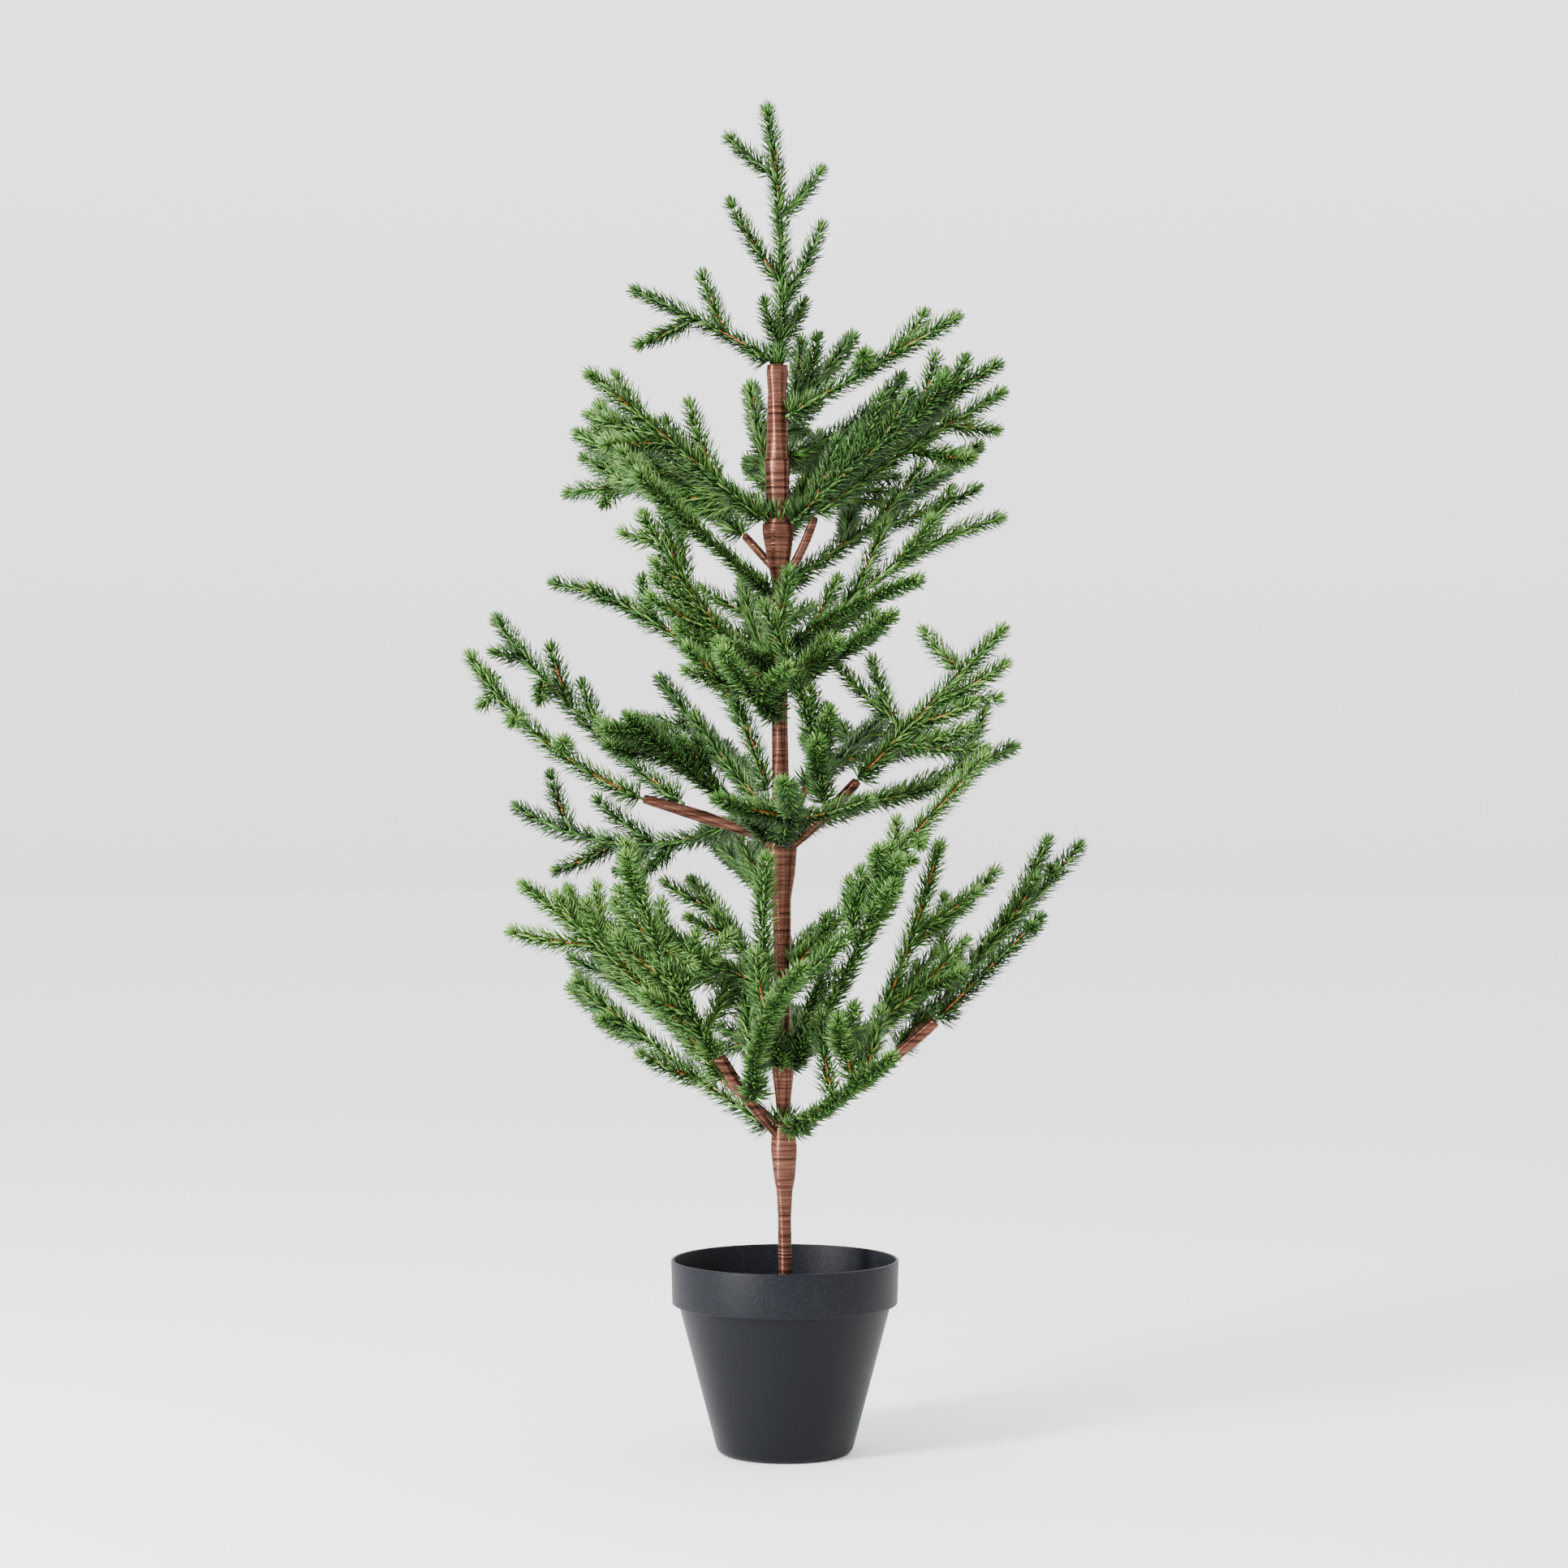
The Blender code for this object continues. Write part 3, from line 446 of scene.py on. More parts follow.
def trunk_root(height, tip, radius, bow):
    """Where a stem of this radius starts on the wound stem's side, turned towards the tip.

    A curve with a bow leaves 4 * bow / length radians flatter than the straight line to its tip.
    """
    centre = trunk_centre(height)
    goal = place(*tip)
    flat = goal[:2] - centre[:2]
    run, rise = float(np.linalg.norm(flat)), goal[2] - height
    slope = math.atan2(rise, run) - 4 * bow / math.hypot(run, rise)
    out = trunk_radius(height) + GAP + radius * abs(math.sin(slope)) + SEAT
    return seen(np.array([*(centre[:2] + unit(flat) * out), height]))


def grown_back(points, reach):
    """A path with one more point this far before its first, so that its foot is bound in its carrier."""
    return np.vstack([points[0] + unit(points[0] - points[1]) * reach, points])


limbs = {}
limb_parts = []
for number, (name, height, tip, bow, radii) in enumerate(LIMBS):
    curve = bowed(trunk_root(height, tip, radii[0], bow), tip, bow)
    limbs[name] = (curve, radii)
    count = int(length_of(curve) / THREAD_PITCH * THREAD_ROWS)
    shares = np.linspace(-LIMB_FOOT / length_of(curve), 1.0, count)
    girth = np.interp(shares, (0.0, 0.5, 1.0), radii) * np.interp(shares, (0.94, 1.0), (1.0, 0.86))
    limb_parts.append(wound(curve(shares), girth, LIMB_SIDES, 10 + number))


def gathered(parts):
    """Corners and faces of many bodies as one, each body's corner numbers moved past those before it."""
    corners = np.vstack([p[0] for p in parts])
    past = np.cumsum([0] + [len(p[0]) for p in parts[:-1]])
    kinds = range(len(parts[0][1]))
    return corners, [np.vstack([p[1][k] + offset for p, offset in zip(parts, past)]) for k in kinds]


piece("limb_windings", *gathered(limb_parts), floss, "wound_thread", *limbs)

# Sprigs
# Forty-eight sprigs of moulded polyethylene stand in whorls on the stem, its top and the limbs. Each has a
# wire core in a plastic stem with side twigs, and its needles are moulded on all round. The wires are bound
# under the floss.
STEM_RADIUS = 2.4
TWIG_RADIUS = 2.0
STEM_SPACE = 2.2
TWIG_SPACE = 1.8
TWIG_BOW = 0.03
PAIR_START = 0.34
PAIR_STEP = 0.30
PAIR_ANGLE = 48.0
TOP_ROOTS = {"top": -3.5, "top_left": -10.3}

# Name, root (a height on the stem, its top, or a limb and the share along it), tip (reach, height, near),
# bow, twigs (share along the stem, tip reach, tip height, how far forward), and pairs of twigs by rule.
SPRIGS = (
    ("sprig_leader", "top", (-12, 912, 0), -5, (
        (0.73, -39, 892, 4), (0.57, 25, 870, -4), (0.31, -37, 848, 6), (0.23, 25, 832, 2),
        (0.07, -14, 781, 22), (0.09, 13, 780, -22)), 0),
    ("sprig_top_left", "top_left", (-103, 788, 5), -2, ((0.31, -56, 799, -8), (0.56, -100, 751, 14)), 0),
    ("sprig_shoulder_right", 703, (117, 770, 50), 0, ((0.60, 95, 773, -8), (0.43, 54, 745, 34)), 0),
    ("sprig_shoulder_back", 706, (46, 757, -85), 3, ((0.25, 22, 757, -6), (0.12, 11, 754, -40)), 0),
    ("sprig_upper_right_back", 676, (80, 730, -95), 8, ((0.80, 90, 712, -10), (0.16, 20, 667, -34)), 0),
    ("sprig_upper_left_back", 655, (-23, 723, -105), 2, (
        (0.20, -25, 672, -34), (0.42, 22, 712, -34), (0.55, 14, 692, -50)), 0),
    ("sprig_high_left", 632, (-133, 732, 50), 0, (
        (0.25, -65, 712, -12), (0.68, -115, 731, -10), (0.52, -122, 687, 18)), 0),
    ("sprig_high_left_back", 641, (-142, 691, -60), 4, (
        (0.65, -126, 711, -12), (0.77, -128, 697, 14), (0.35, -96, 680, 22)), 0),
    ("sprig_high_right", 630, (145, 738, 85), -5, ((0.62, 102, 744, -8), (0.74, 123, 742, 12)), 0),
    ("sprig_high_back", 626, (24, 690, -125), 4, (), 2),
    ("sprig_limb_upper_right", ("limb_upper_right", 1.0), (148, 719, 0), -2, (
        (0.25, 68, 696, 16), (0.50, 125, 676, 18), (0.70, 109, 732, -14), (0.72, 144, 693, 12)), 0),
    ("sprig_limb_upper_left", ("limb_upper_left", 1.0), (-148, 650, -110), -15, (
        (0.60, -137, 675, -16), (0.75, -123, 643, 14)), 0),
    ("sprig_fifth_right_back", 590, (132, 683, -115), 2, ((0.45, 92, 669, -20),), 1),
    ("sprig_fifth_left_front", 582, (-100, 664, 105), 1, ((0.50, -84, 640, 16),), 0),
    ("sprig_fourth_left", 517, (-97, 637, 60), 4, (
        (0.62, -71, 631, -8), (0.60, -89, 604, 16), (0.85, -111, 624, 4)), 0),
    ("sprig_fourth_back", 530, (-27, 597, -130), 6, (), 2),
    ("sprig_fourth_front", 532, (-45, 548, 72), -2, ((0.16, 4, 599, 26),), 0),
    ("sprig_third_front", 500, (-42, 544, 100), 2, ((0.16, 30, 553, 26),), 1),
    ("sprig_fourth_right", 528, (147, 634, -25), -17, (
        (0.30, 69, 632, -14), (0.60, 113, 653, -8), (0.56, 101, 633, 28)), 0),
    ("sprig_fourth_right_front", 545, (91, 592, 95), -4, ((0.16, 36, 593, -20),), 0),
    ("sprig_third_right_front", 520, (73, 568, 92), 2, ((0.50, 64, 561, -18),), 0),
    ("sprig_middle_left_outer", ("limb_middle_left", 1.0), (-214, 541, 30), 12, (
        (0.66, -184, 495, 22), (0.80, -206, 506, 10), (0.85, -200, 525, -12), (0.40, -150, 482, 22)), 0),
    ("sprig_middle_left_upper", ("limb_middle_left", 0.72), (-196, 566, -60), 7, (
        (0.35, -138, 522, -12), (0.55, -159, 547, 10), (0.70, -166, 510, 26), (0.80, -198, 543, 12)), 0),
    ("sprig_middle_left_front", 417, (-107, 499, 120), 0, ((0.35, -59, 483, 20), (0.65, -115, 483, 16)), 0),
    ("sprig_middle_left_back", 429, (-85, 525, -110), 0, ((0.66, -97, 498, -14), (0.34, -62, 500, -22)), 0),
    ("sprig_middle_left_high", 448, (-158, 590, -30), -33, (
        (0.20, -34, 523, 16), (0.50, -65, 575, 12), (0.62, -108, 576, -10), (0.66, -97, 593, 16),
        (0.80, -132, 587, 8)), 0),
    ("sprig_middle_left_low", 436, (-183, 438, -130), 26, (
        (0.38, -96, 392, 14), (0.45, -128, 443, -16), (0.60, -156, 394, 14), (0.78, -159, 460, -10)), 0),
    ("sprig_middle_front", 417, (-1, 454, 140), 6, (), 1),
    ("sprig_middle_right", ("limb_middle_right", 1.0), (148, 558, 50), 0, (
        (0.25, 136, 477, 26), (0.30, 59, 538, -8), (0.50, 150, 535, 16), (0.56, 146, 511, 6),
        (0.72, 94, 557, -16)), 0),
    ("sprig_middle_right_back", 424, (156, 479, -110), 3, ((0.35, 106, 454, 22), (0.72, 136, 503, -18)), 0),
    ("sprig_limb_middle_back", ("limb_middle_back", 1.0), (68, 500, -150), 2, (), 2),
    ("sprig_middle_right_front", ("limb_middle_right", 0.55), (-15, 575, 85), -7, ((0.16, 28, 505, 22),), 0),
    ("sprig_second_back", 378, (-54, 423, -150), 2, (
        (0.18, -30, 418, -20), (0.40, -16, 412, -80), (0.60, -40, 425, -70)), 0),
    ("sprig_second_right", 328, (136, 472, 75), 0, (
        (0.50, 87, 401, 18), (0.52, 76, 429, -14), (0.64, 92, 412, 22)), 0),
    ("sprig_first_right_inner", 272, (29, 364, 50), 6, ((0.30, 36, 326, -14),), 0),
    ("sprig_first_back", 262, (6, 300, -165), 4, ((0.14, -25, 268, -16), (0.16, 32, 286, -18)), 2),
    ("sprig_first_left_back", 276, (-64, 388, -140), -10, ((0.50, -48, 366, 10), (0.78, -82, 387, -12)), 1),
    ("sprig_first_front", 262, (-12, 404, 95), 7, (), 1),
    ("sprig_first_right_front", 272, (72, 411, 110), 9, ((0.55, 44, 388, 20),), 0),
    ("sprig_lower_left", 220, (-142, 320, -70), 3, ((0.33, -99, 271, 12), (0.72, -125, 294, 10)), 0),
    ("sprig_lower_left_front", ("limb_lower_left_front", 1.0), (-106, 410, 110), 7, (
        (0.30, -60, 352, 26), (0.55, -62, 330, 10), (0.70, -113, 382, 10), (0.10, -38, 330, -18),
        (0.42, -84, 374, -16)), 0),
    ("sprig_lower_left_long", ("limb_lower_left_front", 0.72), (-178, 385, 75), -7, (
        (0.30, -92, 352, -12), (0.58, -128, 385, -10), (0.65, -186, 353, 14), (0.72, -155, 378, 10)), 0),
    ("sprig_lower_left_middle", ("limb_lower_left", 1.0), (-145, 335, -30), -8, ((0.50, -110, 345, -12),), 0),
    ("sprig_lower_front", ("limb_lower_left_front", 0.45), (13, 329, 150), -10, (
        (0.55, -20, 340, 14), (0.22, -26, 318, -22)), 0),
    ("sprig_lower_right_front", 219, (73, 268, 120), 1, (
        (0.40, 26, 298, 16), (0.62, 38, 296, 20), (0.70, 65, 301, -12)), 0),
    ("sprig_lower_right_outer", ("limb_lower_right", 1.0), (174, 363, 40), 0, ((0.86, 168, 357, 14),), 0),
    ("sprig_lower_right_upper", ("limb_lower_right", 0.72), (201, 412, -60), 0, (
        (0.10, 90, 330, -12), (0.28, 108, 377, -22), (0.40, 179, 416, -26), (0.55, 171, 391, 10),
        (0.85, 181, 395, 14)), 0),
    ("sprig_lower_right_inner", ("limb_lower_right", 0.45), (105, 413, 30), 4, (
        (0.24, 123, 347, 26), (0.56, 144, 395, -8), (0.62, 131, 381, 14)), 0),
)


def top_root(across, tip, radius):
    """Where a stem of this radius starts on the wound stem's flat top, this far across it."""
    ahead = unit(place(*tip) - (across, 0.0, TRUNK_TOP))
    rise = GAP + SEAT + radius * math.hypot(ahead[0], ahead[1]) if ahead[2] > 0.9 else GAP + SEAT + radius
    return seen(np.array([across, 0.0, TRUNK_TOP + rise]))


def limb_root(curve, radii, share, tip, radius):
    """Where a stem of this radius starts on a limb's end, or at a share along it on its side."""
    spot = curve(share)
    along = unit(curve(min(1.0, share + 0.01)) - curve(min(1.0, share + 0.01) - 0.02))
    ahead = unit(place(*tip) - spot)
    if share == 1.0:
        tilt = radius * np.linalg.norm(np.cross(along, ahead))
        return seen(spot + along * (GAP + tilt + SEAT))
    side = unit(ahead - along * float(ahead @ along))
    thick = float(np.interp(share, (0.0, 0.5, 1.0), radii))
    tilt = radius * np.linalg.norm(np.cross(side, ahead))
    return seen(spot + side * (thick + GAP + tilt + SEAT))


def offsets(step, count):
    """0, +step, -step, +2 step, -2 step and so on."""
    return [0.0] + [sign * step * k for k in range(1, count + 1) for sign in (1, -1)]


def paired_twigs(name, stem, pairs):
    """Twigs in pairs along a stem, turned to either side in the fan of the sprig, by a seed."""
    chance = random.Random(name)
    rows = ()
    for k in range(pairs):
        share = PAIR_START + PAIR_STEP * k
        spot = stem(share)
        ahead = unit(stem(share + 0.02) - stem(share - 0.02))
        side = unit(np.cross(ahead, (0.0, 0.0, 1.0)))
        reach = length_of(stem) * (1 - share) * 0.62 + 8
        for turn in (1, -1):
            angle = math.radians(PAIR_ANGLE + chance.uniform(-5, 5))
            goal = spot + reach * (ahead * math.cos(angle) + turn * side * math.sin(angle)) + (0, 0, 3.0)
            tip = seen(goal)
            rows += ((share + 0.04 * turn, tip[0], tip[1], tip[2] - seen(spot)[2]),)
    return rows


class Crowd:
    """The centre lines that are already set, with their radii, which every new one keeps clear of.

    Each point knows its owner: 0 for stem and limbs, then 1, 2, 3 for the sprigs in order.
    """

    def __init__(self):
        self.points = np.empty((0, 3))
        self.radii = np.empty(0)
        self.owners = np.empty(0, int)

    def add(self, owner, points, radii):
        self.points = np.vstack([self.points, points])
        self.radii = np.concatenate([self.radii, np.broadcast_to(radii, len(points))])
        self.owners = np.concatenate([self.owners, np.full(len(points), owner)])

    def gaps(self, owner, points, radius):
        """Gap from each point of a stem of this radius to stem and limbs, and to the other sprigs."""
        away = np.linalg.norm(points[:, None] - self.points[None], axis=2) - self.radii - radius
        others = (self.owners != owner) & (self.owners > 0)
        return away[:, self.owners == 0].min(axis=1), away[:, others].min(axis=1, initial=99.0)


crowd = Crowd()
heights = np.arange(FILL_TOP, TRUNK_TOP, SAMPLE_STEP)
crowd.add(0, trunk_centre(heights), trunk_radius(heights))
for curve, radii in limbs.values():
    points = samples_of(curve)
    crowd.add(0, points, np.interp(np.linspace(0, 1, len(points)), (0.0, 0.5, 1.0), radii))

# Each stem is shifted in depth, or a little in height, until it is clear of those before it, and then each
# twig. Only a stem's foot, its first samples, may stand closer.
FOOT = 5
WOOD_ROOM = 1.0
ROOT_ROOM = 0.1
STEM_ROOM = 1.6
TWIG_ROOM = 1.2
tries = [(shift, lift) for shift in offsets(5, 12) for lift in offsets(3, 3)]
tries.sort(key=lambda pair: abs(pair[0]) + 2.5 * abs(pair[1]))
shoots = []
for owner, (_, root, tip, bow, _, _) in enumerate(SPRIGS, 1):
    best = None
    for shift, lift in tries:
        goal = (tip[0], tip[1], tip[2] + shift)
        if root in TOP_ROOTS:
            start = top_root(TOP_ROOTS[root], goal, STEM_RADIUS)
        elif isinstance(root, tuple):
            start = limb_root(*limbs[root[0]], root[1], goal, STEM_RADIUS)
        else:
            start = trunk_root(root + lift, goal, STEM_RADIUS, bow)
        curve = bowed(start, goal, bow)
        points = samples_of(curve)
        to_wood, to_sprigs = crowd.gaps(owner, points, STEM_RADIUS)
        room = min(to_wood[FOOT:].min() - WOOD_ROOM, to_sprigs.min() - ROOT_ROOM,
                   to_sprigs[FOOT:].min() - STEM_ROOM)
        if best is None or room > best[0]:
            best = (room, curve, points)
        if room >= 0:
            break
    shoots.append((owner, best[1], True))
    crowd.add(owner, best[2], STEM_SPACE)
for (owner, stem, _), (name, _, _, _, twigs, pairs) in zip(list(shoots), SPRIGS):
    for share, reach, height, out in twigs + paired_twigs(name, stem, pairs):
        start = seen(stem(share))
        for shift in offsets(6, 5):
            goal = (reach, height, start[2] + out + shift)
            curve = bowed(start, goal, TWIG_BOW * math.hypot(reach - start[0], height - start[1]))
            points = samples_of(curve)
            if min(gaps.min() for gaps in crowd.gaps(owner, points, TWIG_RADIUS)) >= TWIG_ROOM:
                crowd.add(owner, points, TWIG_SPACE)
                shoots.append((owner, curve, False))
                break

# Where the crown is thick, finer twigs grow on from the stems and twigs: about every 19 mm, one leaves at
# about 25 degrees to the side that has most room, if it stays in a thick part and clear of the other shoots.
# A thick part is a band as seen from the front: from (reach, height) to (reach, height), and its half width.
THICK = (
    (18, 650, 100, 705, 25), (50, 655, 110, 690, 20), (-30, 655, -115, 700, 18), (-40, 640, -100, 668, 14),
    (-30, 520, -78, 590, 13), (12, 530, 50, 562, 11), (-20, 452, -110, 492, 14), (55, 478, 125, 505, 13),
    (12, 452, 36, 500, 10), (-40, 300, -95, 400, 16), (-60, 300, -145, 362, 17), (-60, 275, -132, 312, 13),
    (-28, 262, -42, 345, 13), (-68, 330, -84, 385, 13), (-90, 320, -122, 366, 13), (42, 278, 110, 335, 13),
    (38, 345, 68, 395, 12),
)
FINE_STEP = 19.0
FINE_REACH = (40, 62)
FINE_ANGLE = 25
FINE_ROLL = 36
FINE_ROOM = 4.6
FINE_ROOT_ROOM = 2.5
FINE_DEPTH = 145
SHORTEST = 34
STEEPEST = 0.72
TOP_SPRIGS = 2


def in_thick(reach, height, spare=0.0):
    """True where a point lies nearer to the middle line of a thick part than that part's half width."""
    for x0, z0, x1, z1, half in THICK:
        run, rise = x1 - x0, z1 - z0
        share = min(1.0, max(0.0, ((reach - x0) * run + (height - z0) * rise) / (run * run + rise * rise)))
        if math.hypot(reach - x0 - share * run, height - z0 - share * rise) < half + spare:
            return True
    return False


chance = np.random.default_rng(5)
for owner, curve, is_stem in list(shoots):
    length = length_of(curve)
    heading = unit(curve(1.0) - curve(0.0))
    if owner <= TOP_SPRIGS or length < SHORTEST or abs(heading[1]) > STEEPEST:
        continue
    for start in np.arange(12 + chance.uniform(0, 8), length - 14, FINE_STEP):
        spot = curve(start / length)
        ahead = unit(curve((start + 1) / length) - spot)
        if not in_thick(*seen(spot)[:2]):
            continue
        first = unit(np.cross(ahead, (0.2, 0.9, 0.4)))
        second = np.cross(ahead, first)
        reach = min(chance.uniform(*FINE_REACH), 0.8 * (length - start) + 18)
        slant = math.radians(chance.normal(FINE_ANGLE, 4))
        best = None
        for roll in np.radians(np.arange(0, 360, FINE_ROLL)):
            side = math.cos(roll) * first + math.sin(roll) * second
            tip = spot + reach * (math.cos(slant) * ahead + math.sin(slant) * side)
            if not in_thick(*seen(tip)[:2], 4.0) or abs(tip[1]) > FINE_DEPTH:
                continue
            points = spot + np.linspace(0.3, 1.08, 14)[:, None] * (tip - spot)
            away = np.linalg.norm(points[:, None] - crowd.points[None], axis=2) - crowd.radii
            room = away.min(axis=1)
            room = min(room[3:].min(), room[:3].min() + FINE_ROOT_ROOM)
            if best is None or room > best[0]:
                best = (room, tip)
        if best is None or best[0] < FINE_ROOM:
            continue
        fine = bowed(seen(spot), seen(best[1]), TWIG_BOW * reach)
        crowd.add(owner, samples_of(fine), TWIG_SPACE)
        shoots.append((owner, fine, False))

# Sprig stems
# The stem of a moulded sprig is a plastic rod 2.4 mm thick at its foot and 1.5 mm at its tip. Ochre paint is
# sprayed along the side of it that shows, in broken streaks, to look like young bark.
ROD_RADIUS = 1.2
TWIG_ROD_RADIUS = 1.0
ROD_TIP_RADIUS = 0.75
ROD_STEP = 3.0
ROD_SIDES = 6
ROD_SHORT = 2.0
STEM_BOUND = 4.0
TWIG_BOUND = 1.0
STREAK_HALF = 48
STREAK_SKIN = 0.16
PAINTED = 0.72
FACE_TURN = 0.72


def face_of(along):
    """The side of a shoot with its parting and paint: front and up, or up where it heads forward."""
    views = unit(np.array([(0.0, -1.0, 0.45), (0.0, -0.15, 1.0)]))
    pick = views[0] if abs(float(unit(along.mean(axis=0)) @ views[0])) < FACE_TURN else views[1]
    return unit(pick - along * (along @ pick)[:, None])


def streak(points, radii):
    """Corners and faces of a streak of paint: four points across the rod's face side, and one inside it.

    Its half width swells and thins as 48 degrees times a slow wave, and closes at both ends.
    """
    along = unit(np.gradient(points, axis=0))
    front = face_of(along)
    side = np.cross(along, front)
    share = np.linspace(0, 1, len(points))
    closed = np.clip(np.sin(np.pi * share) * 3, 0.15, 1)
    half = np.radians(STREAK_HALF) * closed * (0.8 + 0.3 * np.sin(points[:, 2] / 3.1))
    spread = half[:, None] * np.array([-1.0, -0.4, 0.4, 1.0])
    skin = (radii[:, None] + STREAK_SKIN) * np.array([0.92, 1.0, 1.0, 0.92])
    outer = around(spread, front[:, None], side[:, None])
    rings = np.concatenate([outer * skin[..., None], 0 * front[:, None]], axis=1)
    return tube(points[:, None] + rings, points[0], points[-1])


# A rod grows back into what carries it and ends short of its tip's rosette. Paint starts and stops by chance.
rods, streaks = [], []
chance = np.random.default_rng(7)
for _, curve, is_stem in shoots:
    length = length_of(curve)
    count = max(4, int(length / ROD_STEP))
    points = curve(np.linspace(0, 1 - ROD_SHORT / length, count))
    points = grown_back(points, STEM_BOUND if is_stem else TWIG_BOUND)
    radii = np.linspace(ROD_RADIUS if is_stem else TWIG_ROD_RADIUS, ROD_TIP_RADIUS, count + 1)
    rods.append(skinned(points, np.repeat(radii[:, None], ROD_SIDES, axis=1)))
    at = int(chance.uniform(3, 6))
    while at < count - 5:
        run = int(chance.uniform(3, 13))
        stop = min(at + run, count - 3)
        if stop - at >= 3 and chance.uniform() < PAINTED:
            streaks.append(streak(points[at:stop], radii[at:stop]))
        at = stop + int(chance.uniform(1, 5))

# Polyethylene in a mid green, with the soft wax-like sheen that it has as moulded.
stem_green = finish("moulded_green_polyethylene_stem", "#44692E", 0.45, 1.51)[0]
# Acrylic paint in ochre, sprayed on by hand in streaks: matt against the plastic.
ochre = finish("sprayed_ochre_acrylic_paint", "#AB5C24", 0.6, 1.49)[0]
all_sprigs = [row[0] for row in SPRIGS]
piece("sprig_stems", *gathered(rods), stem_green, "needle_plastic", *all_sprigs)
piece("sprig_paint", *gathered(streaks), ochre, "needle_plastic", *all_sprigs)

# Needles
# The needles are moulded with the stem. They lean forward, curve in and stand in close rows all round, parted
# a little along the painted side, with a rosette of short ones at each tip. The real ones are about 10 mm
# long and 1 mm wide: they are drawn larger, so that fewer of them fill the crown as well.
ROW_STEP = 2.4
TOP_ROW_STEP = 2.1
NEEDLES_ROUND = 9
KEPT = 0.96
PARTING = 33.0
IN_PARTING = 0.30
NEEDLE_LENGTH = 13.6
TOP_NEEDLE_LENGTH = 12.4
NEEDLE_WIDTH = 1.5
NEEDLE_KEEL = 0.5
# Over a collar at its root a stem has rows added, and their needles splay out. A neck before the rosette is
# bare.
COLLAR = 13.0
COLLAR_STEP = 2.2
COLLAR_SPLAY = 24
STEM_NECK = 1.5
TWIG_NECK = 4.5
# The rosette's needles leave a short bud, turned by the golden angle, and reach past the end of the shoot's
# curve.
BUD_NEEDLES = 32
BUD_LENGTH = 9.2
BUD_WIDTH = 1.1
BUD_DEPTH = 2.6
GOLDEN_ANGLE = 2.39996
TIP_OVER = 4.0


def blades(roots, ahead, out, lengths, lean, curl, width, stations):
    """Corners of needles, as an array of needle, corner and x, y, z.

    A needle's middle line is an arc of a circle: it leaves its root at the angle `lean` from the shoot's
    direction and turns in by `curl` along its length. Each station is a share of the length and of the width
    there, and has three corners: one to either side and one on the keel. The last corner is the point.
    """
    curl = np.where(np.abs(curl) < 1e-3, 1e-3, curl)
    side = np.cross(ahead, out)
    rows = []
    for share, wide in stations + ((1.0, 0.0),):
        angle = lean - curl * share
        forward = (np.sin(lean) - np.sin(angle)) / curl
        outward = (np.cos(angle) - np.cos(lean)) / curl
        middle = roots + lengths[:, None] * (forward[:, None] * ahead + outward[:, None] * out)
        if wide == 0.0:
            rows.append(middle)
            continue
        keel = np.sin(angle)[:, None] * ahead - np.cos(angle)[:, None] * out
        half = 0.5 * wide * width[:, None] * side
        rows += [middle - half, middle + half, middle + wide * NEEDLE_KEEL * keel]
    return np.stack(rows, axis=1)


def blade_faces(stations):
    """Faces of one needle with this many stations: its foot, the sides between them, and its point."""
    faces = [(2, 1, 0)]
    for k in range(stations - 1):
        for j in range(3):
            a, b = 3 * k + j, 3 * k + (j + 1) % 3
            faces += [(a, b, b + 3), (a, b + 3, a + 3)]
    top = 3 * stations
    faces += [(top - 3 + j, top - 3 + (j + 1) % 3, top) for j in range(3)]
    return np.array(faces)


def sheaf(corners, stations):
    """Corners and faces of many needles as one body."""
    count, each = corners.shape[:2]
    faces = blade_faces(stations)[None] + each * np.arange(count)[:, None, None]
    return corners.reshape(-1, 3), [faces.reshape(-1, 3)]


# A needle's tone decides which green it is moulded in. It is its sprig's own, with a random part, and it
# rises to the front of the tree and on the upper and front sides of a shoot: that rise is painted light,
# paler where light falls and darker in the shade further back. Tips are paler too.
NEEDLE_STATIONS = ((0.0, 0.85), (0.55, 1.0))
BUD_STATIONS = ((0.0, 0.9), (0.4, 1.1), (0.75, 0.9))
FORWARD_PAINTED_LIGHT = 0.0010
TOP_TONE = -0.10
BUD_TONE = 0.10
chance = np.random.default_rng(11)
sprig_tone = chance.normal(0, 0.09, len(SPRIGS) + 1)
sprig_tone[1:1 + TOP_SPRIGS] = TOP_TONE


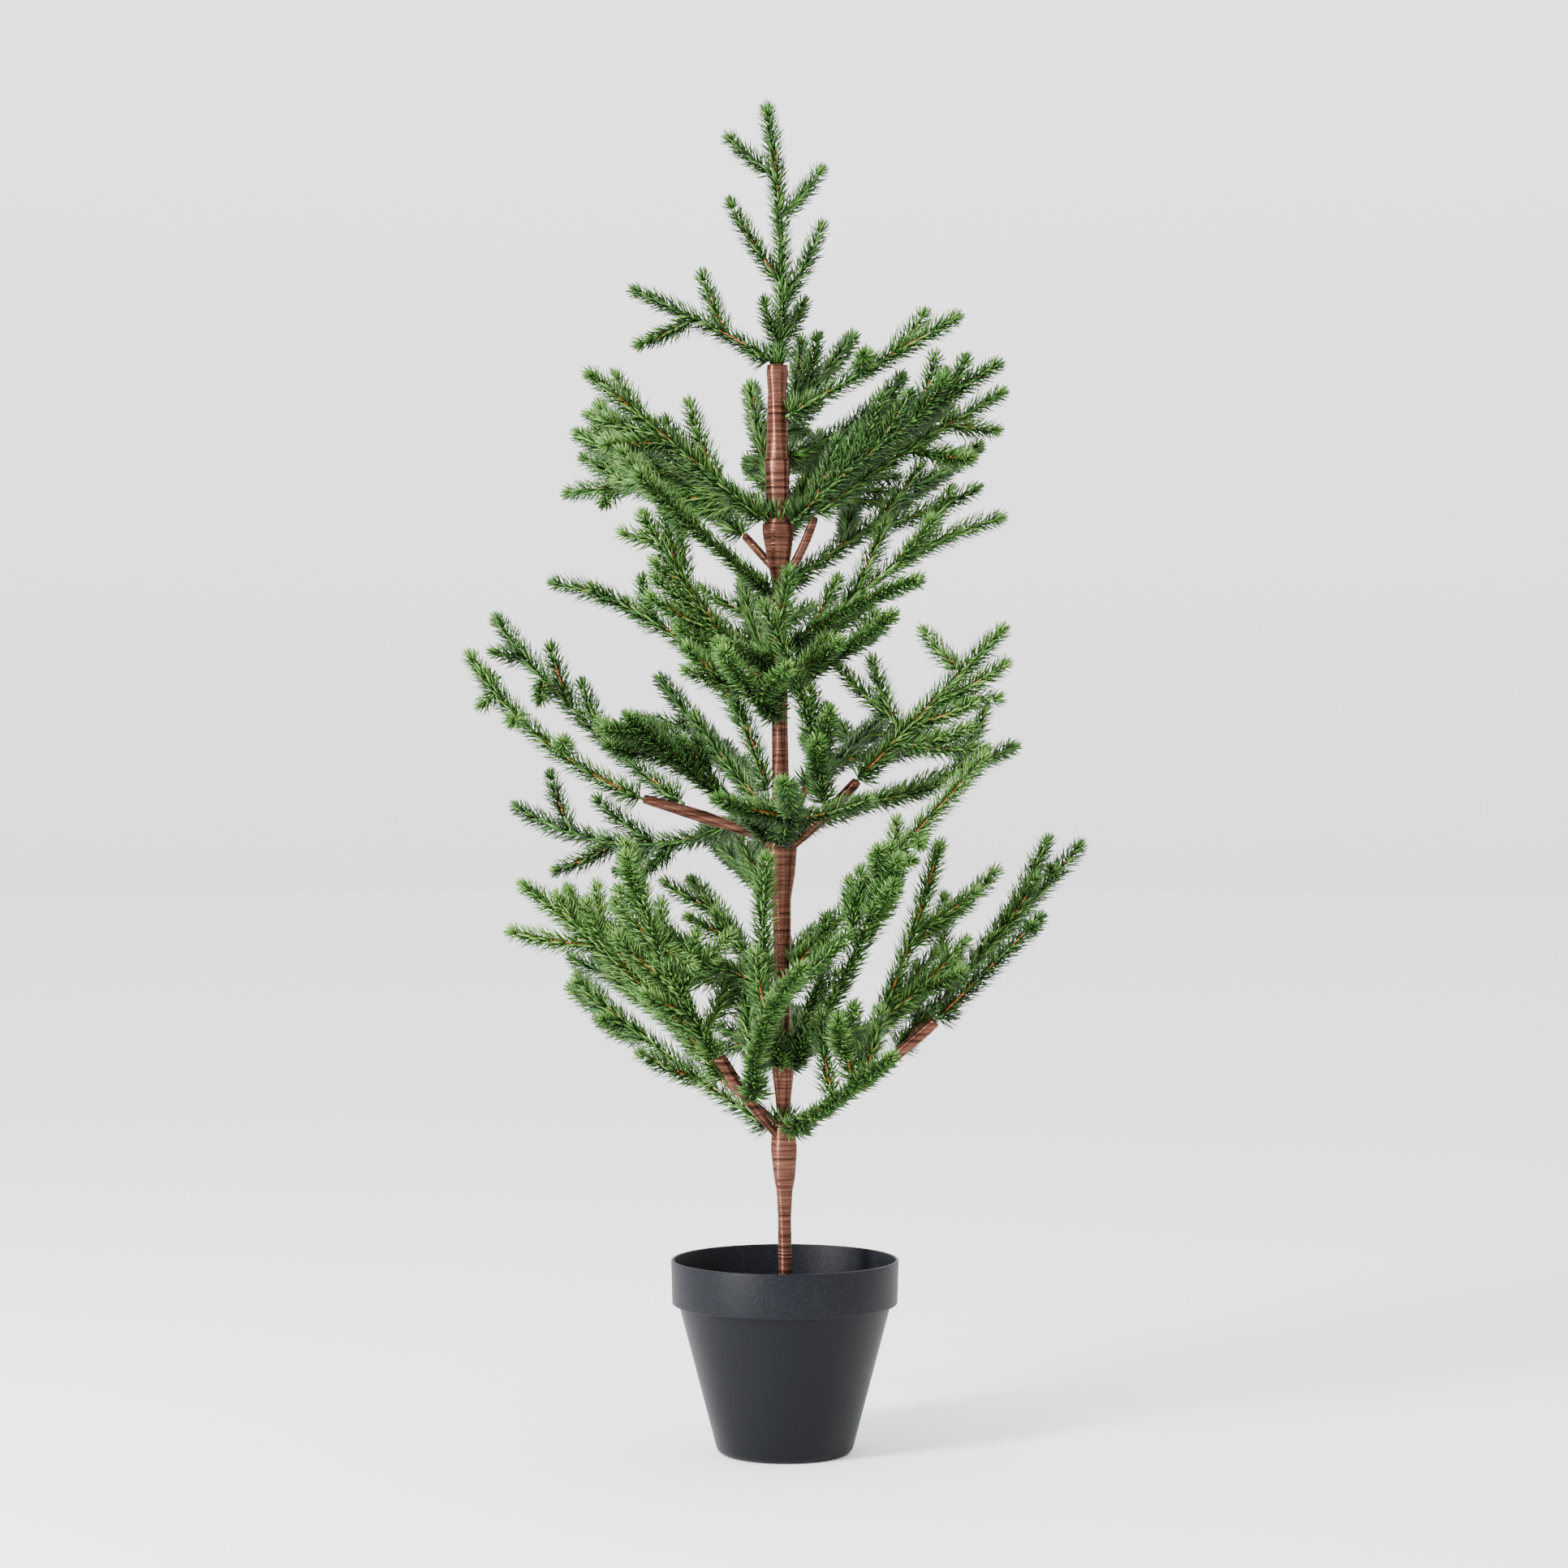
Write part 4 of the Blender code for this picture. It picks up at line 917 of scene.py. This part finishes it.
def needle_rows(owner, curve, is_stem):
    """Needles of one shoot: roots, directions along and out, lengths, angles of lean and curl, and tones.

    Every second row is turned by half a place and has one needle fewer. A needle leans by 36 degrees, plus 21
    times the sine of its turn from the face side, so that those seen edge-on stand out most.
    """
    length = length_of(curve)
    top = owner <= TOP_SPRIGS
    stop = length + TIP_OVER - BUD_LENGTH - (STEM_NECK if is_stem else TWIG_NECK)
    count = max(2, int((stop - 1.0) / (TOP_ROW_STEP if top else ROW_STEP)))
    at = np.linspace(1.0 if is_stem else 2.5, stop, count)
    if is_stem:
        at = np.sort(np.concatenate([at, np.arange(0.6, COLLAR, COLLAR_STEP)]))
        count = len(at)
    points = curve(at / length)
    along = unit(np.gradient(points, axis=0))
    front = face_of(along)
    side = np.cross(along, front)
    odd = (np.arange(count) % 2)[:, None]
    place_round = np.arange(NEEDLES_ROUND)[None]
    apart = (360 - 2 * PARTING) / (NEEDLES_ROUND - 1)
    azimuth = PARTING + apart * (place_round + 0.5 * odd) + chance.normal(0, 5, (count, NEEDLES_ROUND))
    in_parting = chance.uniform(-30, 30, (count, 1))
    azimuth = np.radians(np.concatenate([azimuth, in_parting], axis=1))
    keep = (place_round < NEEDLES_ROUND - odd) & (chance.uniform(0, 1, (count, NEEDLES_ROUND)) < KEPT)
    keep = np.concatenate([keep, chance.uniform(0, 1, (count, 1)) < IN_PARTING], axis=1)
    out = around(azimuth, front[:, None], side[:, None])
    slip = chance.uniform(-0.6, 0.6, azimuth.shape)
    thick = np.interp(at, (0, length), (ROD_RADIUS, ROD_TIP_RADIUS))
    roots = points[:, None] + slip[..., None] * along[:, None] + 0.6 * thick[:, None, None] * out
    taper = np.interp(length - at, (BUD_LENGTH - TIP_OVER, 22.0), (0.70, 1.0))
    taper = taper * np.interp(at, (0.0, 9.0), (1.15, 1.0))
    full = TOP_NEEDLE_LENGTH if top else NEEDLE_LENGTH
    lengths = full * taper[:, None] * chance.uniform(0.84, 1.10, azimuth.shape)
    splay = COLLAR_SPLAY * np.clip(1 - at / COLLAR, 0, 1)[:, None] if is_stem else 0.0
    lean = np.radians(36 + 21 * np.abs(np.sin(azimuth)) + splay + chance.normal(0, 5, azimuth.shape))
    curl = np.radians(chance.normal(15, 6, azimuth.shape))
    ahead = np.broadcast_to(along[:, None], out.shape)
    # Painted light: the tone rises towards the front of the tree and on needles that point up and forward.
    tone = (sprig_tone[owner] + FORWARD_PAINTED_LIGHT * -points[:, 1, None] + 0.13 * out[..., 2] - 0.10 * out[..., 1]
            + chance.normal(0, 0.13, azimuth.shape))
    return [values[keep] for values in (roots, ahead, out, lengths, lean, curl, tone)]


def tip_rosette(owner, curve):
    """Needles at one tip, as needle_rows gives them: from the middle out they lean by 20 to 92 degrees."""
    length = length_of(curve)
    number = np.arange(BUD_NEEDLES)
    share = (number + 0.5) / BUD_NEEDLES
    azimuth = number * GOLDEN_ANGLE + chance.uniform(0, 6.28)
    ahead = unit(curve(1.0) - curve(1.0 - 4.0 / length))
    other = unit(np.cross(ahead, (0.31, 0.52, 0.79)))
    third = np.cross(ahead, other)
    out = around(azimuth, other, third)
    base = curve(1.0 - (BUD_LENGTH - TIP_OVER) / length)
    roots = base + (1 - share)[:, None] * BUD_DEPTH * ahead + 0.5 * out
    lean = np.radians(20 + 72 * share + chance.normal(0, 6, BUD_NEEDLES))
    curl = np.radians(16 + 30 * share + chance.normal(0, 8, BUD_NEEDLES))
    lengths = BUD_LENGTH * chance.uniform(0.82, 1.06, BUD_NEEDLES)
    # Painted light as in needle_rows: paler towards the front of the tree and where needles point up and
    # forward.
    tone = (BUD_TONE + sprig_tone[owner] - FORWARD_PAINTED_LIGHT * base[1] + 0.10 * out[:, 2] - 0.08 * out[:, 1]
            + chance.normal(0, 0.12, BUD_NEEDLES))
    return roots, np.broadcast_to(ahead, out.shape), out, lengths, lean, curl, tone


leaf_rows, bud_rows = [], []
for owner, curve, is_stem in shoots:
    leaf_rows.append(needle_rows(owner, curve, is_stem))
    bud_rows.append(tip_rosette(owner, curve))

# The lowest needles of each whorl stand bound round the stem, in two rows above the shoulder of the winding.
# Each whorl has its height and the number of needles in a row, and the last stands on the stem's top.
WHORLS = ((221.5, 26), (417.0, 40), (631.0, 40), (737.6, 26))
for height, number in WHORLS:
    for rise, spare in ((0.0, -0.8), (5.0, -0.4)):
        turn = 2 * np.pi * (np.arange(number) + rise / 10) / number + chance.normal(0, 0.08, number)
        out = level_ring(turn)
        centre = trunk_centre(min(height + rise, TRUNK_TOP)) + (0, 0, max(0.0, height + rise - TRUNK_TOP))
        shaft = trunk_radius(height + rise + 3) if height < TRUNK_TOP else 5.0 - 0.5 * rise
        leaf_rows.append((centre + (shaft + spare) * out, np.broadcast_to((0.0, 0.0, 1.0), out.shape), out,
                          chance.uniform(11, 15, number), np.radians(chance.normal(38, 9, number)),
                          np.radians(chance.normal(16, 6, number)), chance.normal(-0.02, 0.14, number)))

*bases, leaf_tone = (np.concatenate(part) for part in zip(*leaf_rows))
widths = NEEDLE_WIDTH * np.random.default_rng(3).uniform(0.85, 1.15, len(leaf_tone))
leaves = blades(*bases, widths, NEEDLE_STATIONS)

# A needle whose point would run into the wound stem is left out.
points = leaves[:, -1]
level = np.clip(points[:, 2], FILL_TOP, TRUNK_TOP)
from_stem = np.linalg.norm((points - trunk_centre(level))[:, :2], axis=1) - trunk_radius(level)
clear = (from_stem > 0.4) | (points[:, 2] > TRUNK_TOP + 0.5)
leaves, leaf_tone = leaves[clear], leaf_tone[clear]

*bases, bud_tone = (np.concatenate(part) for part in zip(*bud_rows))
buds = blades(*bases, np.full(len(bud_tone), BUD_WIDTH), BUD_STATIONS)

# Soft polyethylene coloured in the mass, in five greens from deep to pale, with the weak sheen of a moulded
# skin.
# The tone that picks a green is partly painted light, so the pale greens also stand for painted light and the
# deep ones for painted shade. Each has its colour and the highest tone that it takes.
GREENS = (("deep", "#182F0D", -0.20), ("dark", "#234214", -0.06), ("mid", "#32561D", 0.08),
          ("light", "#466C2A", 0.22), ("pale", "#638A3F", 9.0))
below = -9.0
for shade_name, code, above in GREENS:
    green, tree, shader = finish(f"moulded_{shade_name}_green_polyethylene", code, 0.48, 1.51)
    set_up(shader, {"Specular IOR Level": 0.3})
    for kind, bodies, tones, stations in (("needles", leaves, leaf_tone, 2), ("buds", buds, bud_tone, 3)):
        body = sheaf(bodies[(tones > below) & (tones <= above)], stations)
        piece(f"{kind}_{shade_name}", *body, green, "needle_plastic", *all_sprigs)
    below = above

# Floor, lights and camera
# The tree stands on white paper in a white room that is brighter behind the tree and overhead, so that the
# shadow to the right of the pot stays faint. A tall strip light on the left of the camera gives the wound
# stem its highlight, and a weak light on the right opens the shade. Sizes here are in metres.
SWEEP_RADIUS = 12.0
SWEEP_SIDES = 96
turn = 2 * np.pi * np.arange(SWEEP_SIDES) / SWEEP_SIDES
mesh = bpy.data.meshes.new("floor")
mesh.from_pydata((SWEEP_RADIUS * level_ring(turn)).tolist(), [], [tuple(range(SWEEP_SIDES))])
# Uncoated background paper: white and matt.
mesh.materials.append(finish("uncoated_white_paper", "#FAFAFA", 0.9, 1.45)[0])
floor = bpy.data.objects.new("floor", mesh)
bpy.context.scene.collection.objects.link(floor)

# The room's strength rises from 1.1 before the tree to 2.05 behind it, and by up to 0.75 more from floor to
# ceiling.
world = bpy.data.worlds.new("white_room")
world.use_nodes = True
sky = world.node_tree
towards = add(sky, "SeparateXYZ", links={0: add(sky, "TexCoord").outputs["Generated"]})
behind = add(sky, "MapRange", {"From Min": -0.35, "From Max": 0.45, "To Min": 1.1, "To Max": 2.05},
             {"Value": towards.outputs["Y"]})
above = add(sky, "MapRange", {"From Min": -0.035, "From Max": 0.3, "To Max": 0.75},
            {"Value": towards.outputs["Z"]})
bright = add(sky, "Math", {"operation": "ADD"}, {0: behind.outputs[0], 1: above.outputs[0]})
set_up(sky.nodes["Background"], {"Color": (1.0, 1.0, 1.0, 1.0)}, {"Strength": bright.outputs[0]})
bpy.context.scene.world = world


def softbox(name, place_at, aim, width, height, power):
    """A rectangular soft light of this width and height, at one point and turned to another."""
    lamp = bpy.data.lights.new(name, "AREA")
    lamp.shape = "RECTANGLE"
    lamp.size = width
    lamp.size_y = height
    lamp.energy = power
    thing = bpy.data.objects.new(name, lamp)
    forward = unit(np.array(place_at) - np.array(aim))
    right = unit(np.cross((0.0, 0.0, 1.0), forward))
    up = np.cross(forward, right)
    turn = np.eye(4)
    turn[:3, 0], turn[:3, 1], turn[:3, 2], turn[:3, 3] = right, up, forward, place_at
    thing.matrix_world = Matrix(turn.tolist())
    bpy.context.scene.collection.objects.link(thing)


softbox("key", (-1.75, -1.55, 1.2), (0.0, 0.0, 0.5), 0.30, 2.4, 235.0)
softbox("fill", (1.9, -1.7, 1.0), (0.0, 0.0, 0.4), 1.2, 1.6, 10.0)

# The camera is level and stands where a sprig's tips are seen from, EYE_AWAY before the stem, with a lens of
# 80 mm.
VIEW_ANGLE = 25.5
eye = bpy.data.cameras.new("camera")
eye.angle = math.radians(VIEW_ANGLE)
eye.sensor_fit = "AUTO"
camera = bpy.data.objects.new("camera", eye)
camera.location = (-0.0006, -2.35, 0.453)
camera.rotation_euler = (math.radians(90), 0.0, 0.0)
bpy.context.scene.collection.objects.link(camera)
bpy.context.scene.camera = camera
